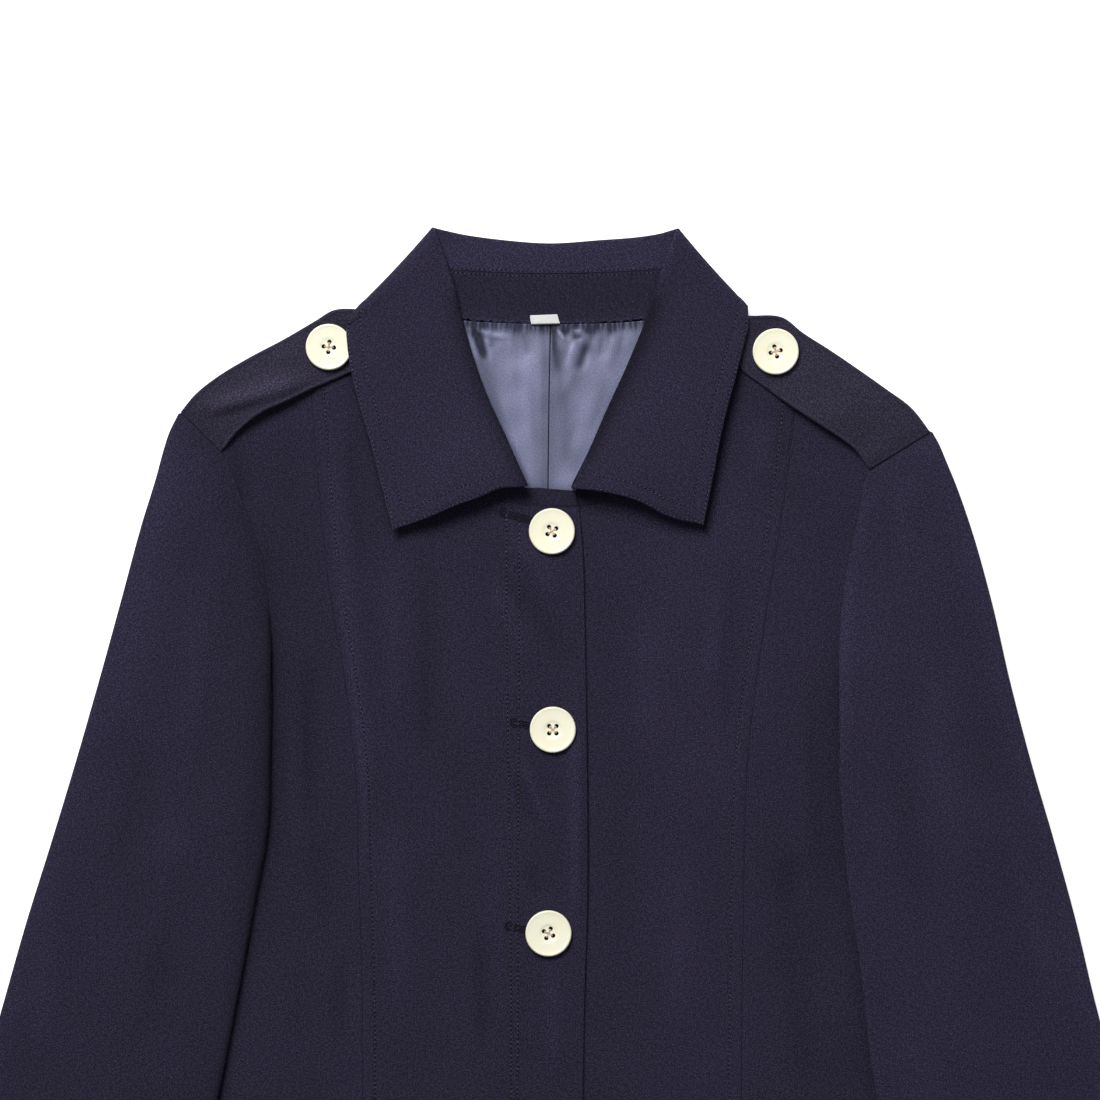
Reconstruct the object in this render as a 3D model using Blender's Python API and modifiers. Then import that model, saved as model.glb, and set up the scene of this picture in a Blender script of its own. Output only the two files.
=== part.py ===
"""A women's navy field jacket lying flat on its back, buttoned, sleeves over its sides.

Lengths here are in millimetres, and MM turns them into Blender's metres as each object is made.
The neck points along +Y, the front faces +Z and the jacket rests on z = 0. "right" and "left"
are the wearer's, so the right half lies at -X. The right front laps over the left one.
"""

import math

import bmesh
import bpy
import numpy as np

MM = 0.001

# Driving sizes
CLOTH = 1.2  # wall of the twill
COLLAR_CLOTH = 1.6  # two layers of twill with interlining
STRAP_CLOTH = 2.0
LINING_CLOTH = 1.0
GAP = 0.3  # between neighbours
HEM_Y = -341.0

# Facets: how many steps each seam is parted into, so that neighbours share their corners
ARMHOLE_STEPS = 7
UNDERARM_STEPS = 5
BACK_ARMHOLE_STEPS = 6
SIDE_STEPS = 9
NECK_STEPS = 9
NECK_END_STEPS = 3
EDGE_STEPS = ARMHOLE_STEPS + UNDERARM_STEPS + SIDE_STEPS - NECK_STEPS - NECK_END_STEPS
SLEEVE_STEPS = 12
SEAM_CURL = (1.2, 4.0, 9.0)  # distances of the rows that round an edge down to its seam
FOLD_CURL = (0.25, 1.0, 2.6)
LIFT_ROWS = (10.0, 20.0, 28.0, 37.0)  # rows below the neck where the back fall lifts the cloth
ROLL_ANGLES = (-80, -40, 0, 40, 80)  # round the collar's roll, from the strip to the leaf
LEAF_SHARES = (0.12, 0.35, 0.6, 0.82, 0.955, 1.0)  # rows of the leaf, from the roll to its edge
STRAP_SHARES = (0.0, 0.12, 0.35, 0.65, 0.88, 1.0)  # rows across a strap

# Heights of the middle of each layer
BACK_Z = 0.6
LINING_Z = 2.1
FRONT_Z = 3.8
SEAM_Z = BACK_Z + CLOTH + 0.8  # front edge lying on the back edge
UNDER_SLEEVE_Z = FRONT_Z + CLOTH + 1.0  # where it lies on the front
LAP_RISE = 2.0  # the upper front over the under one
STRAP_Z = FRONT_Z + CLOTH / 2 + GAP + STRAP_CLOTH / 2
STRAP_ARCH = 2.6  # how far a strap stands off the shoulder, over the outer part of its length
STRAP_ARCH_LENGTH = 0.66
STRAP_DROOP = 0.8  # how far its upper long edge falls behind the shoulder
SLEEVE_OVER_BODY_Z = 8.6
SLEEVE_OVER_FLOOR_Z = 5.8
STAND_BACK_Z = 3.3
FALL_BACK_Z = 0.8

# The collar's back fall lies under the back panel, and lifts what is over it
FALL_EDGE_Y = 269.0
FALL_EDGE_RISE = 31.0
FALL_HALF_WIDTH = 105.0
FALL_LIFT = 2.1

BUTTON_RADIUS = 12.2
BUTTON_STEPS = 28
BUTTON_HOLE_RADIUS = 0.95
BUTTON_HOLE_SPREAD = 2.2
# radius, height of a button's outline from the middle of its top to the middle of its bottom
BUTTON_PROFILE = (
    (0.0, 1.9),
    (3.9, 1.9),
    (4.9, 2.35),
    (10.6, 2.75),
    (11.3, 3.0),
    (12.0, 2.6),
    (BUTTON_RADIUS, 1.6),
    (11.0, 0.4),
    (8.6, 0.0),
    (0.0, 0.0),
)

NAVY = (0.026, 0.022, 0.043)
SATIN = (0.18, 0.19, 0.30)
CREAM = (0.93, 0.89, 0.72)
WHITE = (0.88, 0.88, 0.86)

# Each half of the body: x, y of its seams from the shoulder or neck down
RIGHT = {
    "shoulder": ((-193.5, 242.5), (-169.5, 263.0), (-147.0, 277.0), (-131.0, 286.0)),
    "shoulder_top": ((-131.0, 286.0), (-112.0, 293.5), (-95.0, 296.3), (-78.0, 299.0)),
    "neck": ((-78.0, 299.0), (-73.5, 280.0), (-66.5, 256.0), (-55.0, 231.0), (-41.0, 209.0),
             (-27.0, 197.5)),
    "neck_end": ((-27.0, 197.5), (-6.0, 195.2), (14.3, 195.6)),
    "edge": ((14.3, 195.6), (16.2, 175.0), (17.5, 132.0), (18.6, 60.0), (18.9, -10.0), (17.2, -72.0),
             (16.2, -150.0), (16.0, -250.0), (15.5, HEM_Y)),
    "princess": ((-131.0, 286.0), (-127.0, 250.0), (-123.2, 202.0), (-117.2, 147.0), (-109.3, 100.0),
                 (-103.4, 46.0), (-102.3, 0.0), (-100.8, -42.0), (-100.2, -90.0), (-101.0, -170.0),
                 (-105.0, -260.0), (-110.0, HEM_Y)),
    "armhole": ((-193.5, 242.5), (-174.4, 223.1), (-163.8, 198.0), (-153.7, 170.0), (-149.3, 135.0),
                (-148.8, 104.0)),
    "underarm": ((-148.8, 104.0), (-152.0, 68.0), (-163.0, 41.0), (-187.0, 22.0), (-222.0, 14.0)),
    "side": ((-222.0, 14.0), (-212.0, -50.0), (-208.0, -110.0), (-213.0, -190.0), (-225.0, -270.0),
             (-239.0, HEM_Y)),
    "back_armhole": ((-193.5, 242.5), (-195.0, 190.0), (-198.0, 140.0), (-203.0, 90.0), (-211.0, 45.0),
                     (-222.0, 14.0)),
    "sleeve_outer": ((-197.2, 241.0), (-205.0, 223.0), (-209.0, 210.0), (-216.2, 187.0), (-227.8, 145.0),
                     (-239.5, 102.5), (-251.7, 60.0), (-264.4, 18.0), (-277.7, -24.5), (-289.8, -67.0),
                     (-313.0, -150.0), (-340.0, -247.0), (-366.5, HEM_Y)),
    "sleeve_fold": ((-148.8, 104.0), (-149.4, 60.0), (-150.4, 26.0), (-157.0, -12.0), (-167.0, -67.0),
                    (-178.0, -122.0), (-200.0, -200.0), (-226.0, -275.0), (-248.0, HEM_Y)),
}
LEFT = {
    "shoulder": ((197.6, 235.0), (187.0, 246.5), (169.5, 260.0), (147.0, 274.0), (131.0, 282.0)),
    "shoulder_top": ((131.0, 282.0), (112.0, 290.5), (95.0, 295.3), (78.0, 299.0)),
    "neck": ((78.0, 299.0), (74.0, 278.0), (66.0, 252.0), (54.0, 228.0), (41.0, 209.0), (27.0, 197.5)),
    "neck_end": ((27.0, 197.5), (3.0, 193.5), (-21.0, 194.5)),
    "edge": ((-21.0, 194.5), (-21.5, 60.0), (-22.0, -72.0), (-22.0, -200.0), (-22.0, HEM_Y)),
    "princess": ((131.0, 282.0), (128.0, 238.0), (120.2, 180.0), (112.0, 127.0), (105.8, 82.0),
                 (102.9, 44.0), (102.0, 7.0), (101.2, -40.0), (100.6, -88.0), (101.0, -170.0),
                 (105.0, -260.0), (110.0, HEM_Y)),
    "armhole": ((197.6, 235.0), (182.0, 224.0), (168.0, 213.5), (162.0, 190.0), (154.0, 147.0),
                (152.4, 120.0), (152.1, 96.0)),
    "underarm": ((152.1, 96.0), (154.0, 62.0), (164.0, 39.0), (187.0, 22.0), (222.0, 14.0)),
    "side": ((222.0, 14.0), (212.0, -50.0), (208.0, -110.0), (213.0, -190.0), (225.0, -270.0),
             (239.0, HEM_Y)),
    "back_armhole": ((197.6, 235.0), (196.0, 188.0), (198.0, 140.0), (203.0, 90.0), (211.0, 45.0),
                     (222.0, 14.0)),
    "sleeve_outer": ((199.6, 233.6), (203.6, 228.4), (208.8, 216.5), (219.9, 187.5), (232.1, 145.0),
                     (242.2, 102.5), (253.3, 60.0), (265.5, 18.0), (277.1, -24.5), (287.2, -67.0),
                     (311.0, -150.0), (340.0, -247.0), (366.5, HEM_Y)),
    "sleeve_fold": ((152.1, 96.0), (152.9, 43.0), (156.4, 2.0), (162.7, -43.5), (172.8, -120.0),
                    (196.0, -200.0), (224.0, -275.0), (248.0, HEM_Y)),
}

# Shoulder straps from the sleeve seam to the tip: upper edge x, y, lower edge x, y
STRAP_RIGHT = (
    (-194.2, 244.4, -174.2, 224.6),
    (-188.0, 254.9, -165.5, 234.9),
    (-176.0, 264.1, -154.0, 243.9),
    (-159.5, 274.0, -140.0, 250.5),
    (-143.0, 282.9, -125.5, 257.5),
    (-125.6, 293.1, -110.0, 264.3),
    (-116.0, 298.7, -100.5, 269.0),
    (-97.5, 294.6, -92.5, 283.0),
)
STRAP_LEFT = (
    (197.4, 236.4, 167.2, 215.2),
    (190.5, 246.8, 160.5, 224.5),
    (176.5, 257.2, 148.0, 233.8),
    (160.0, 268.0, 135.5, 241.9),
    (145.0, 278.2, 122.5, 250.7),
    (130.0, 287.2, 110.0, 259.8),
    (121.0, 294.0, 101.0, 266.5),
    (103.0, 291.6, 94.0, 281.0),
)

# Sections of the collar, from the neck seam over the stand's seam with the fall and the roll line
# to the fall's edge. On the fronts: share along the neck seam, stand seam x, y, roll x, y,
# edge x, y, stand seam z, z of the leaf near the roll, z of its edge, bow of the leaf along y
COLLAR_RIGHT = (
    (0.765, -20.0, 206.2, -16.2, 207.8, -84.0, 182.4, 6.0, 8.3, 8.5, 1.2),
    (0.70, -23.0, 214.0, -17.8, 215.6, -88.0, 198.0, 6.0, 8.3, 8.9, 1.5),
    (0.59, -31.5, 230.5, -25.0, 232.0, -93.5, 220.5, 5.8, 8.3, 9.3, 2.0),
    (0.40, -43.0, 253.5, -35.6, 255.3, -101.4, 248.0, 5.6, 8.4, 9.8, 2.0),
    (0.25, -52.5, 275.5, -43.5, 278.0, -106.5, 269.0, 5.6, 8.6, 11.5, 1.0),
    (0.14, -58.5, 291.5, -48.0, 294.0, -108.2, 281.5, 5.6, 8.8, 11.7, 0.0),
    (0.05, -64.0, 312.0, -55.0, 320.3, -108.2, 290.0, 5.6, 9.2, 10.8, 0.0),
)
COLLAR_LEFT = (
    (0.05, 66.0, 311.0, 58.4, 318.6, 104.0, 290.5, 5.6, 9.0, 9.8, 0.0),
    (0.14, 60.0, 291.5, 50.4, 294.0, 100.8, 278.0, 5.6, 8.6, 9.6, 0.5),
    (0.27, 49.5, 266.5, 40.2, 269.0, 96.8, 262.0, 5.6, 8.2, 9.4, 2.0),
    (0.42, 37.0, 243.5, 29.6, 245.8, 90.5, 238.0, 5.5, 8.0, 9.0, 3.0),
    (0.58, 25.0, 221.5, 19.6, 223.0, 85.6, 212.5, 4.7, 7.6, 8.6, 3.5),
    (0.70, 17.6, 206.0, 11.8, 207.4, 81.5, 192.0, 4.2, 7.2, 8.3, 3.6),
    (0.745, 15.0, 202.8, 10.6, 204.6, 80.0, 184.8, 4.0, 7.1, 8.2, 3.8),
)
# The neck point, stand seam, roll line and edge where the collar folds to the back: x, y of each
CORNER_RIGHT = (-77.4, 300.4, -66.6, 322.2, -62.4, 340.8, -103.8, 300.2)
CORNER_LEFT = (77.4, 300.4, 68.6, 322.2, 66.1, 339.9, 103.6, 300.6)
# The same four on the back
COLLAR_BACK = (
    (-62.0, 297.2, -60.0, 320.9, -57.0, 339.4, -95.0, 292.5),
    (-46.6, 294.6, -47.0, 319.9, -46.8, 337.6, -70.0, 281.0),
    (-24.0, 292.8, -24.6, 318.8, -25.6, 335.1, -36.0, 272.0),
    (0.0, 292.2, -1.0, 318.3, -1.0, 333.1, 0.0, FALL_EDGE_Y),
    (25.0, 292.8, 24.4, 318.8, 25.4, 334.7, 36.0, 272.0),
    (49.3, 294.8, 47.0, 319.9, 46.6, 336.3, 70.0, 281.0),
    (63.0, 297.2, 61.0, 320.9, 58.0, 338.2, 95.0, 292.5),
)
# The stand's ends past the fall: share along the neck seam, stand seam x, y, z
STAND_END_RIGHT = ((1.0, 12.4, 203.4, 5.9), (0.88, -6.0, 204.9, 5.9))
STAND_END_LEFT = ((0.865, 3.0, 201.8, 4.0), (0.97, -13.0, 202.4, 4.0))

NECK_SEAM = ((-76.5, 298.2), (-46.6, 293.6), (0.0, 291.4), (49.3, 293.6), (76.5, 298.2))
LINING_BOTTOM_Y = 152.0
LINING_SEAM = ((-0.7, 291.4), (-1.5, 250.0), (-2.0, 205.0), (-2.2, LINING_BOTTOM_Y))
LINING_OUTER_RIGHT = ((-62.0, 294.6), (-71.0, 262.0), (-68.0, 205.0), (-52.0, LINING_BOTTOM_Y))
LINING_OUTER_LEFT = ((62.0, 294.6), (71.0, 262.0), (68.0, 205.0), (52.0, LINING_BOTTOM_Y))

LABEL = ((-12.2, 296.8, -11.6, 292.3), (-4.0, 297.3, -4.0, 292.6), (4.7, 296.4, 4.9, 292.3))
LABEL_CLOTH = 0.8

FRONT_BUTTONS = ((0.0, 181.9), (0.5, 77.0), (-1.8, -30.7), (-1.6, -137.0), (-1.6, -243.0))
FRONT_BUTTON_TURN = (-12.0, 0.0, 20.0, -6.0, 14.0)
STRAP_BUTTONS = {"right": (-117.9, 279.3, 38.0), "left": (118.3, 276.9, -30.0)}


# Curves and patches


def smooth(points, step=3.0):
    """Points about `step` apart on one smooth curve through the given points."""
    knots = np.array(points, float)
    chord = np.linalg.norm(np.diff(knots, axis=0), axis=1)
    place = np.concatenate([[0.0], np.cumsum(chord)])
    slope = np.gradient(knots, place, axis=0)
    out = []
    for i, length in enumerate(chord):
        count = max(1, round(length / step))
        t = (np.arange(count) / count)[:, None]
        near = 2 * t**3 - 3 * t**2 + 1
        far = 1 - near
        rise = (t**3 - 2 * t**2 + t) * length
        fall = (t**3 - t**2) * length
        out.append(near * knots[i] + far * knots[i + 1] + rise * slope[i] + fall * slope[i + 1])
    return np.vstack(out + [knots[-1:]])


def path(*pieces):
    """One polyline of several smooth curves, each starting where the last one ends."""
    curves = [smooth(piece) for piece in pieces]
    return np.vstack([curve[:-1] for curve in curves[:-1]] + [curves[-1]])


def divided(pieces, counts, start_extra=(), end_extra=()):
    """Shares of path(*pieces)'s length that part each piece into its count of equal steps.

    The extra stations are distances from the start and from the end.
    """
    lengths = [np.linalg.norm(np.diff(smooth(piece), axis=0), axis=1).sum() for piece in pieces]
    total = sum(lengths)
    begin = np.cumsum([0.0] + lengths[:-1])
    shares = [b + length * np.arange(n) / n for b, length, n in zip(begin, lengths, counts)]
    extra = list(start_extra) + [total - d for d in end_extra]
    return np.unique(np.concatenate(shares + [extra, [total]])) / total


def along(curve, shares):
    """The points at these shares of a polyline's length."""
    place = np.concatenate([[0.0], np.cumsum(np.linalg.norm(np.diff(curve, axis=0), axis=1))])
    place /= place[-1]
    return np.stack([np.interp(shares, place, curve[:, k]) for k in range(curve.shape[1])], axis=1)


def evenly(count, length=1.0, start_extra=(), end_extra=()):
    """Shares from 0 to 1 in `count` steps, with extra ones at distances from the ends of a `length`."""
    extra = [d / length for d in start_extra] + [1 - d / length for d in end_extra]
    return np.unique(np.concatenate([np.linspace(0, 1, count + 1), extra]))


def coons(top, bottom, left, right, across, down, down_right=None):
    """The flat patch between four curves. Left and right run down, top and bottom from left to right."""
    down_right = down if down_right is None else down_right
    t, b = along(top, across), along(bottom, across)
    p, q = along(left, down), along(right, down_right)
    u, v = across[None, :, None], (0.5 * (down + down_right))[:, None, None]
    sides = (1 - u) * p[:, None] + u * q[:, None]
    ends = (1 - v) * t[None] + v * b[None]
    flat = (1 - u) * (1 - v) * t[0] + u * (1 - v) * t[-1] + (1 - u) * v * b[0] + u * v * b[-1]
    return sides + ends - flat


def ease(share):
    """A smooth rise from 0 to 1."""
    share = np.clip(share, 0, 1)
    return share * share * (3 - 2 * share)


def curl(distance, reach):
    """The quarter-round rise of a folded edge, from 0 at the edge to 1 at `reach`."""
    share = np.clip(distance / reach, 0, 1)
    return np.sqrt(share * (2 - share))


def distance(grid, curve):
    """How far each point of a grid is from a polyline, in plan."""
    start, end = curve[:-1, :2], curve[1:, :2]
    run = end - start
    offset = grid[..., None, :2] - start
    share = np.clip((offset * run).sum(-1) / np.maximum((run * run).sum(-1), 1e-9), 0, 1)
    return np.linalg.norm(offset - share[..., None] * run, axis=-1).min(-1)


def inside(grid, outline):
    """True where a grid's point is inside a closed polyline, in plan."""
    x, y = grid[..., 0, None], grid[..., 1, None]
    x0, y0 = outline[:, 0], outline[:, 1]
    x1, y1 = np.roll(x0, -1), np.roll(y0, -1)
    rise = np.where(y1 == y0, 1e-9, y1 - y0)
    crossed = ((y0 > y) != (y1 > y)) & (x < x0 + (y - y0) * (x1 - x0) / rise)
    return crossed.sum(-1) % 2 == 1


def shrink(curve, amount):
    """A polyline moved sideways by `amount`, to the left of its own direction."""
    run = np.gradient(curve, axis=0)
    side = np.stack([-run[:, 1], run[:, 0]], axis=1)
    return curve + amount * side / np.linalg.norm(side, axis=1)[:, None]


def raised(grid, z):
    return np.dstack([grid[..., :2], np.broadcast_to(z, grid.shape[:2])])


# Objects


def material(name, colour, roughness):
    made = bpy.data.materials.new(name)
    made.use_nodes = True
    shader = made.node_tree.nodes["Principled BSDF"]
    shader.inputs["Base Color"].default_value = (*colour, 1)
    shader.inputs["Roughness"].default_value = roughness
    shader.inputs["Metallic"].default_value = 0
    return made


def sheet(name, grid, thickness, finish):
    """An open sheet through a grid of points, made a wall by Solidify."""
    rows, columns = grid.shape[:2]
    index = np.arange(rows * columns).reshape(rows, columns)
    quads = np.stack([index[:-1, :-1], index[1:, :-1], index[1:, 1:], index[:-1, 1:]], axis=-1)
    mesh = bpy.data.meshes.new(name)
    mesh.from_pydata((grid.reshape(-1, 3) * MM).tolist(), [], quads.reshape(-1, 4).tolist())
    mesh.materials.append(finish)
    mesh.shade_smooth()
    made = bpy.data.objects.new(name, mesh)
    JACKET.objects.link(made)
    wall = made.modifiers.new("wall", "SOLIDIFY")
    wall.thickness = thickness * MM
    wall.offset = 0
    return made


# The body


def fall_lift(grid):
    """How much the collar's back fall lifts what lies over it."""
    x, y = grid[..., 0], grid[..., 1]
    edge = FALL_EDGE_Y + FALL_EDGE_RISE * (x / FALL_HALF_WIDTH) ** 2
    return FALL_LIFT * ease((y - edge + 17) / 12)


def front_height(grid, seams):
    """Middle of a front panel, which comes down to the back at the shoulder and side seams."""
    closed = path(seams["shoulder"], seams["shoulder_top"])
    edge = np.minimum(distance(grid, closed), distance(grid, smooth(seams["side"])))
    return FRONT_Z + fall_lift(grid) - (FRONT_Z - SEAM_Z) * (1 - curl(edge, 9))


def lap(grid):
    """The rise of the upper front over the under one."""
    return LAP_RISE * ease((grid[..., 0] + 66) / 28)


def make_front(side, seams):
    turn = 1 if side == "right" else -1
    princess = smooth(seams["princess"])
    hem_side, hem_middle, hem_edge = (np.array([seams[k][-1]]) for k in ("side", "princess", "edge"))
    outer = [seams["armhole"], seams["underarm"], seams["side"]]
    inner = [seams["neck"], seams["neck_end"], seams["edge"]]
    outer_rows = divided(outer, (ARMHOLE_STEPS, UNDERARM_STEPS, SIDE_STEPS), SEAM_CURL)
    inner_rows = divided(inner, (NECK_STEPS, NECK_END_STEPS, EDGE_STEPS), SEAM_CURL)
    side_grid = coons(
        smooth(seams["shoulder"]),
        np.vstack([hem_side, hem_middle]),
        path(*outer),
        shrink(princess, -turn * GAP / 2),
        evenly(5, 115, SEAM_CURL),
        outer_rows,
    )
    sheet(f"front_{side}_side", raised(side_grid, front_height(side_grid, seams)), CLOTH, TWILL)
    center_grid = coons(
        smooth(seams["shoulder_top"]),
        np.vstack([hem_middle, hem_edge]),
        shrink(princess, turn * GAP / 2),
        path(*inner),
        evenly(6),
        outer_rows,
        inner_rows,
    )
    height = front_height(center_grid, seams)
    if side == "right":
        height = height + lap(center_grid)
    sheet(f"front_{side}_center", raised(center_grid, height), CLOTH, TWILL)


def make_back(side, seams):
    turn = 1 if side == "right" else -1
    middle = np.array([(-turn * GAP / 2, NECK_SEAM[2][1]), (-turn * GAP / 2, HEM_Y)])
    neck = NECK_SEAM[:3] if side == "right" else NECK_SEAM[:1:-1]
    top = [seams["shoulder"], seams["shoulder_top"], (*neck[:-1], middle[0])]
    outer = [seams["back_armhole"], seams["side"]]
    grid = coons(
        path(*top),
        np.vstack([[seams["side"][-1]], middle[-1:]]),
        path(*outer),
        middle,
        divided(top, (3, 2, 5)),
        divided(outer, (BACK_ARMHOLE_STEPS, SIDE_STEPS), LIFT_ROWS),
    )
    sheet(f"back_{side}", raised(grid, BACK_Z + fall_lift(grid)), CLOTH, TWILL)


# The sleeves


def sleeve_support(grid, seams):
    """How far inside the part of the front under the sleeve each point is; negative outside."""
    rim = path(seams["underarm"], seams["side"])
    corner = (seams["princess"][-1][0], seams["underarm"][0][1])
    outline = np.vstack([rim, [seams["princess"][-1]], [corner]])
    return np.where(inside(grid, outline), 1, -1) * distance(grid, rim)


def under_sleeve_height(grid, seams):
    return BACK_Z + (UNDER_SLEEVE_Z - BACK_Z) * ease((sleeve_support(grid, seams) + 45) / 42)


def top_sleeve_height(grid, seams):
    rise = ease((sleeve_support(grid, seams) + 50) / 60)
    return SLEEVE_OVER_FLOOR_Z + (SLEEVE_OVER_BODY_Z - SLEEVE_OVER_FLOOR_Z) * rise


def make_under_sleeve(side, seams):
    """From the back armhole round the underarm to the front fold, and down to the cuff."""
    turn = 1 if side == "right" else -1
    outer, fold = smooth(seams["sleeve_outer"]), smooth(seams["sleeve_fold"])
    armhole = [seams["back_armhole"], seams["underarm"][::-1]]
    start = shrink(path(*armhole), -turn * 2 * GAP)
    start[-1] = fold[0]
    grid = coons(
        start,
        np.vstack([outer[-1:], fold[-1:]]),
        np.vstack([start[:1], outer[1:]]),
        fold,
        divided(armhole, (BACK_ARMHOLE_STEPS, UNDERARM_STEPS), (0.8, 3.0, 8.0), (0.8, 3.0, 8.0)),
        evenly(SLEEVE_STEPS),
    )
    height = under_sleeve_height(grid, seams)
    middle = (height + top_sleeve_height(grid, seams)) / 2 - 1.5 * GAP
    edge = np.minimum(distance(grid, outer), distance(grid, fold))
    height = height + (middle - height) * (1 - curl(edge, FOLD_CURL[-1]))
    sheet(f"under_sleeve_{side}", raised(grid, height), CLOTH, TWILL)


def make_top_sleeve(side, seams):
    """It meets the front along the armhole, and lies on the under sleeve past it."""
    turn = 1 if side == "right" else -1
    outer, fold = smooth(seams["sleeve_outer"]), smooth(seams["sleeve_fold"])
    inner = [seams["armhole"], seams["sleeve_fold"]]
    seam = shrink(smooth(seams["armhole"]), -turn * GAP)
    right = np.vstack([seam[:-1], fold])
    grid = coons(
        np.vstack([outer[:1], right[:1]]),
        np.vstack([outer[-1:], fold[-1:]]),
        outer,
        right,
        evenly(4, 118, FOLD_CURL, (0.25, 1.0, 2.6, 12.0)),
        divided(inner, (ARMHOLE_STEPS, SLEEVE_STEPS)),
    )
    height = top_sleeve_height(grid, seams)
    middle = (height + under_sleeve_height(grid, seams)) / 2 + 1.5 * GAP
    folded = ease((fold[0, 1] + 55 - grid[..., 1]) / 55)
    seam_z = FRONT_Z + 0.2 + (middle - FRONT_Z - 0.2) * folded
    from_inner = distance(grid, right)
    sewn_rise = 1 - (1 - np.clip(from_inner / 30, 0, 1)) ** 2
    rise = folded * curl(from_inner, FOLD_CURL[-1]) + (1 - folded) * sewn_rise
    inner_z = seam_z + (height - seam_z) * rise
    outer_z = middle + (height - middle) * curl(distance(grid, outer), FOLD_CURL[-1])
    sheet(f"top_sleeve_{side}", raised(grid, np.minimum(inner_z, outer_z)), CLOTH, TWILL)


# The collar


def round_corner(front, corner, back):
    """Sections that carry the folded collar round its corner, from its front to its back layer.

    Each section is the neck, stand seam, roll and edge points, and the corner's are in plan.
    """
    line = corner[3] - corner[2]
    normal = np.array([-line[1], line[0]]) / np.linalg.norm(line)
    made = []
    for angle in (90, 45, 15, -15, -45, -90):
        turn = math.radians(angle)
        toward = front if angle > 0 else back
        points = []
        for k, place in enumerate(corner):
            high, low = front[k][2], back[k][2]
            radius = (high - low) / 2
            run = toward[k][:2] - place
            run = run / np.linalg.norm(run)
            slant = max(0.38, abs(run @ normal))
            place = place + run * radius * (1 - math.cos(turn)) / slant
            points.append((*place, (high + low) / 2 + radius * math.sin(turn)))
        made.append(np.array(points))
    return made


def collar_sections():
    """The collar's sections from its right to its left front end: neck, stand seam, roll and edge."""

    def front(row, neck):
        share, seam_x, seam_y, roll_x, roll_y, edge_x, edge_y, seam_z, leaf_z, edge_z, bow = row
        x, y = along(neck, [share])[0]
        points = ((x, y, seam_z), (seam_x, seam_y, seam_z), (roll_x, roll_y, leaf_z),
                  (edge_x, edge_y, edge_z))
        return np.array(points), bow

    def back(row):
        plan = np.array(row).reshape(4, 2)
        return np.column_stack([plan, (STAND_BACK_Z, STAND_BACK_Z, FALL_BACK_Z, FALL_BACK_Z)]), 0.0

    def corner(front_section, row, back_section):
        plan = np.array(row).reshape(4, 2)
        return [(section, 0.0) for section in round_corner(front_section[0], plan, back_section[0])]

    right = [front(row, neck_line(RIGHT, 1)) for row in COLLAR_RIGHT]
    left = [front(row, neck_line(LEFT, -1)) for row in COLLAR_LEFT]
    middle = [back(row) for row in COLLAR_BACK]
    right_corner = corner(right[-1], CORNER_RIGHT, middle[0])
    left_corner = corner(left[0], CORNER_LEFT, middle[-1])[::-1]
    return right + right_corner + middle + left_corner + left


def neck_line(seams, turn):
    """The stand's neck seam along one front."""
    return shrink(path(seams["neck"], seams["neck_end"]), turn * 2 * GAP)


def fall_section(section, bow):
    """One section of the fall: the strip from its seam, the roll, and the leaf out to its edge."""
    seam, roll, edge = section[1:]
    middle, rise = (seam[2] + roll[2]) / 2, (roll[2] - seam[2]) / 2
    to_seam = (seam[:2] - roll[:2]) / np.linalg.norm(seam[:2] - roll[:2])
    to_edge = (edge[:2] - roll[:2]) / np.linalg.norm(edge[:2] - roll[:2])
    points = [seam, np.array([*(0.5 * (seam[:2] + roll[:2])), seam[2]])]
    for angle in ROLL_ANGLES:
        turn = math.radians(angle)
        inward = to_seam if angle < 0 else to_edge
        place = roll[:2] + inward * abs(rise) * (1 - math.cos(turn))
        points.append(np.array([*place, middle + rise * math.sin(turn)]))
    start = points[-1]
    for share in LEAF_SHARES:
        point = start + share * (edge - start)
        point[1] += 4 * share * (1 - share) * bow
        points.append(point)
    return np.array(points)


def make_fall():
    sections = [fall_section(section, bow) for section, bow in collar_sections()]
    sheet("collar_fall", np.array(sections), COLLAR_CLOTH, TWILL)


def make_stand():
    def end(row, seams, turn):
        share, x, y, z = row
        return np.array([(*along(neck_line(seams, turn), [share])[0], z), (x, y, z)])

    ends = []
    for section, _ in collar_sections():
        neck, seam = section[:2]
        run = (neck - seam)[:2] / np.linalg.norm((neck - seam)[:2])
        ends.append(np.array([neck, (*(seam[:2] + 3 * GAP * run), seam[2])]))
    ends = [end(row, RIGHT, 1) for row in STAND_END_RIGHT] + ends
    ends = np.array(ends + [end(row, LEFT, -1) for row in STAND_END_LEFT])
    shares = np.linspace(0, 1, 4)[None, :, None]
    sheet("collar_stand", (1 - shares) * ends[:, :1] + shares * ends[:, 1:], COLLAR_CLOTH, TWILL)


def make_strap(side, rows):
    table = np.array(rows)
    shares = np.array(STRAP_SHARES)
    upper, lower = table[:, None, :2], table[:, None, 2:]
    grid = upper + shares[None, :, None] * (lower - upper)
    length = np.linspace(0, 1, len(rows))[:, None]
    arch = STRAP_ARCH * np.sin(np.pi * np.clip(length / STRAP_ARCH_LENGTH, 0, 1)) ** 1.3
    droop = STRAP_DROOP * (1 - shares[None, :]) ** 4 * np.sin(np.pi * length)
    sheet(f"strap_{side}", raised(grid, STRAP_Z + fall_lift(grid) + arch - droop), STRAP_CLOTH, TWILL)


# Lining, label and buttons


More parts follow.
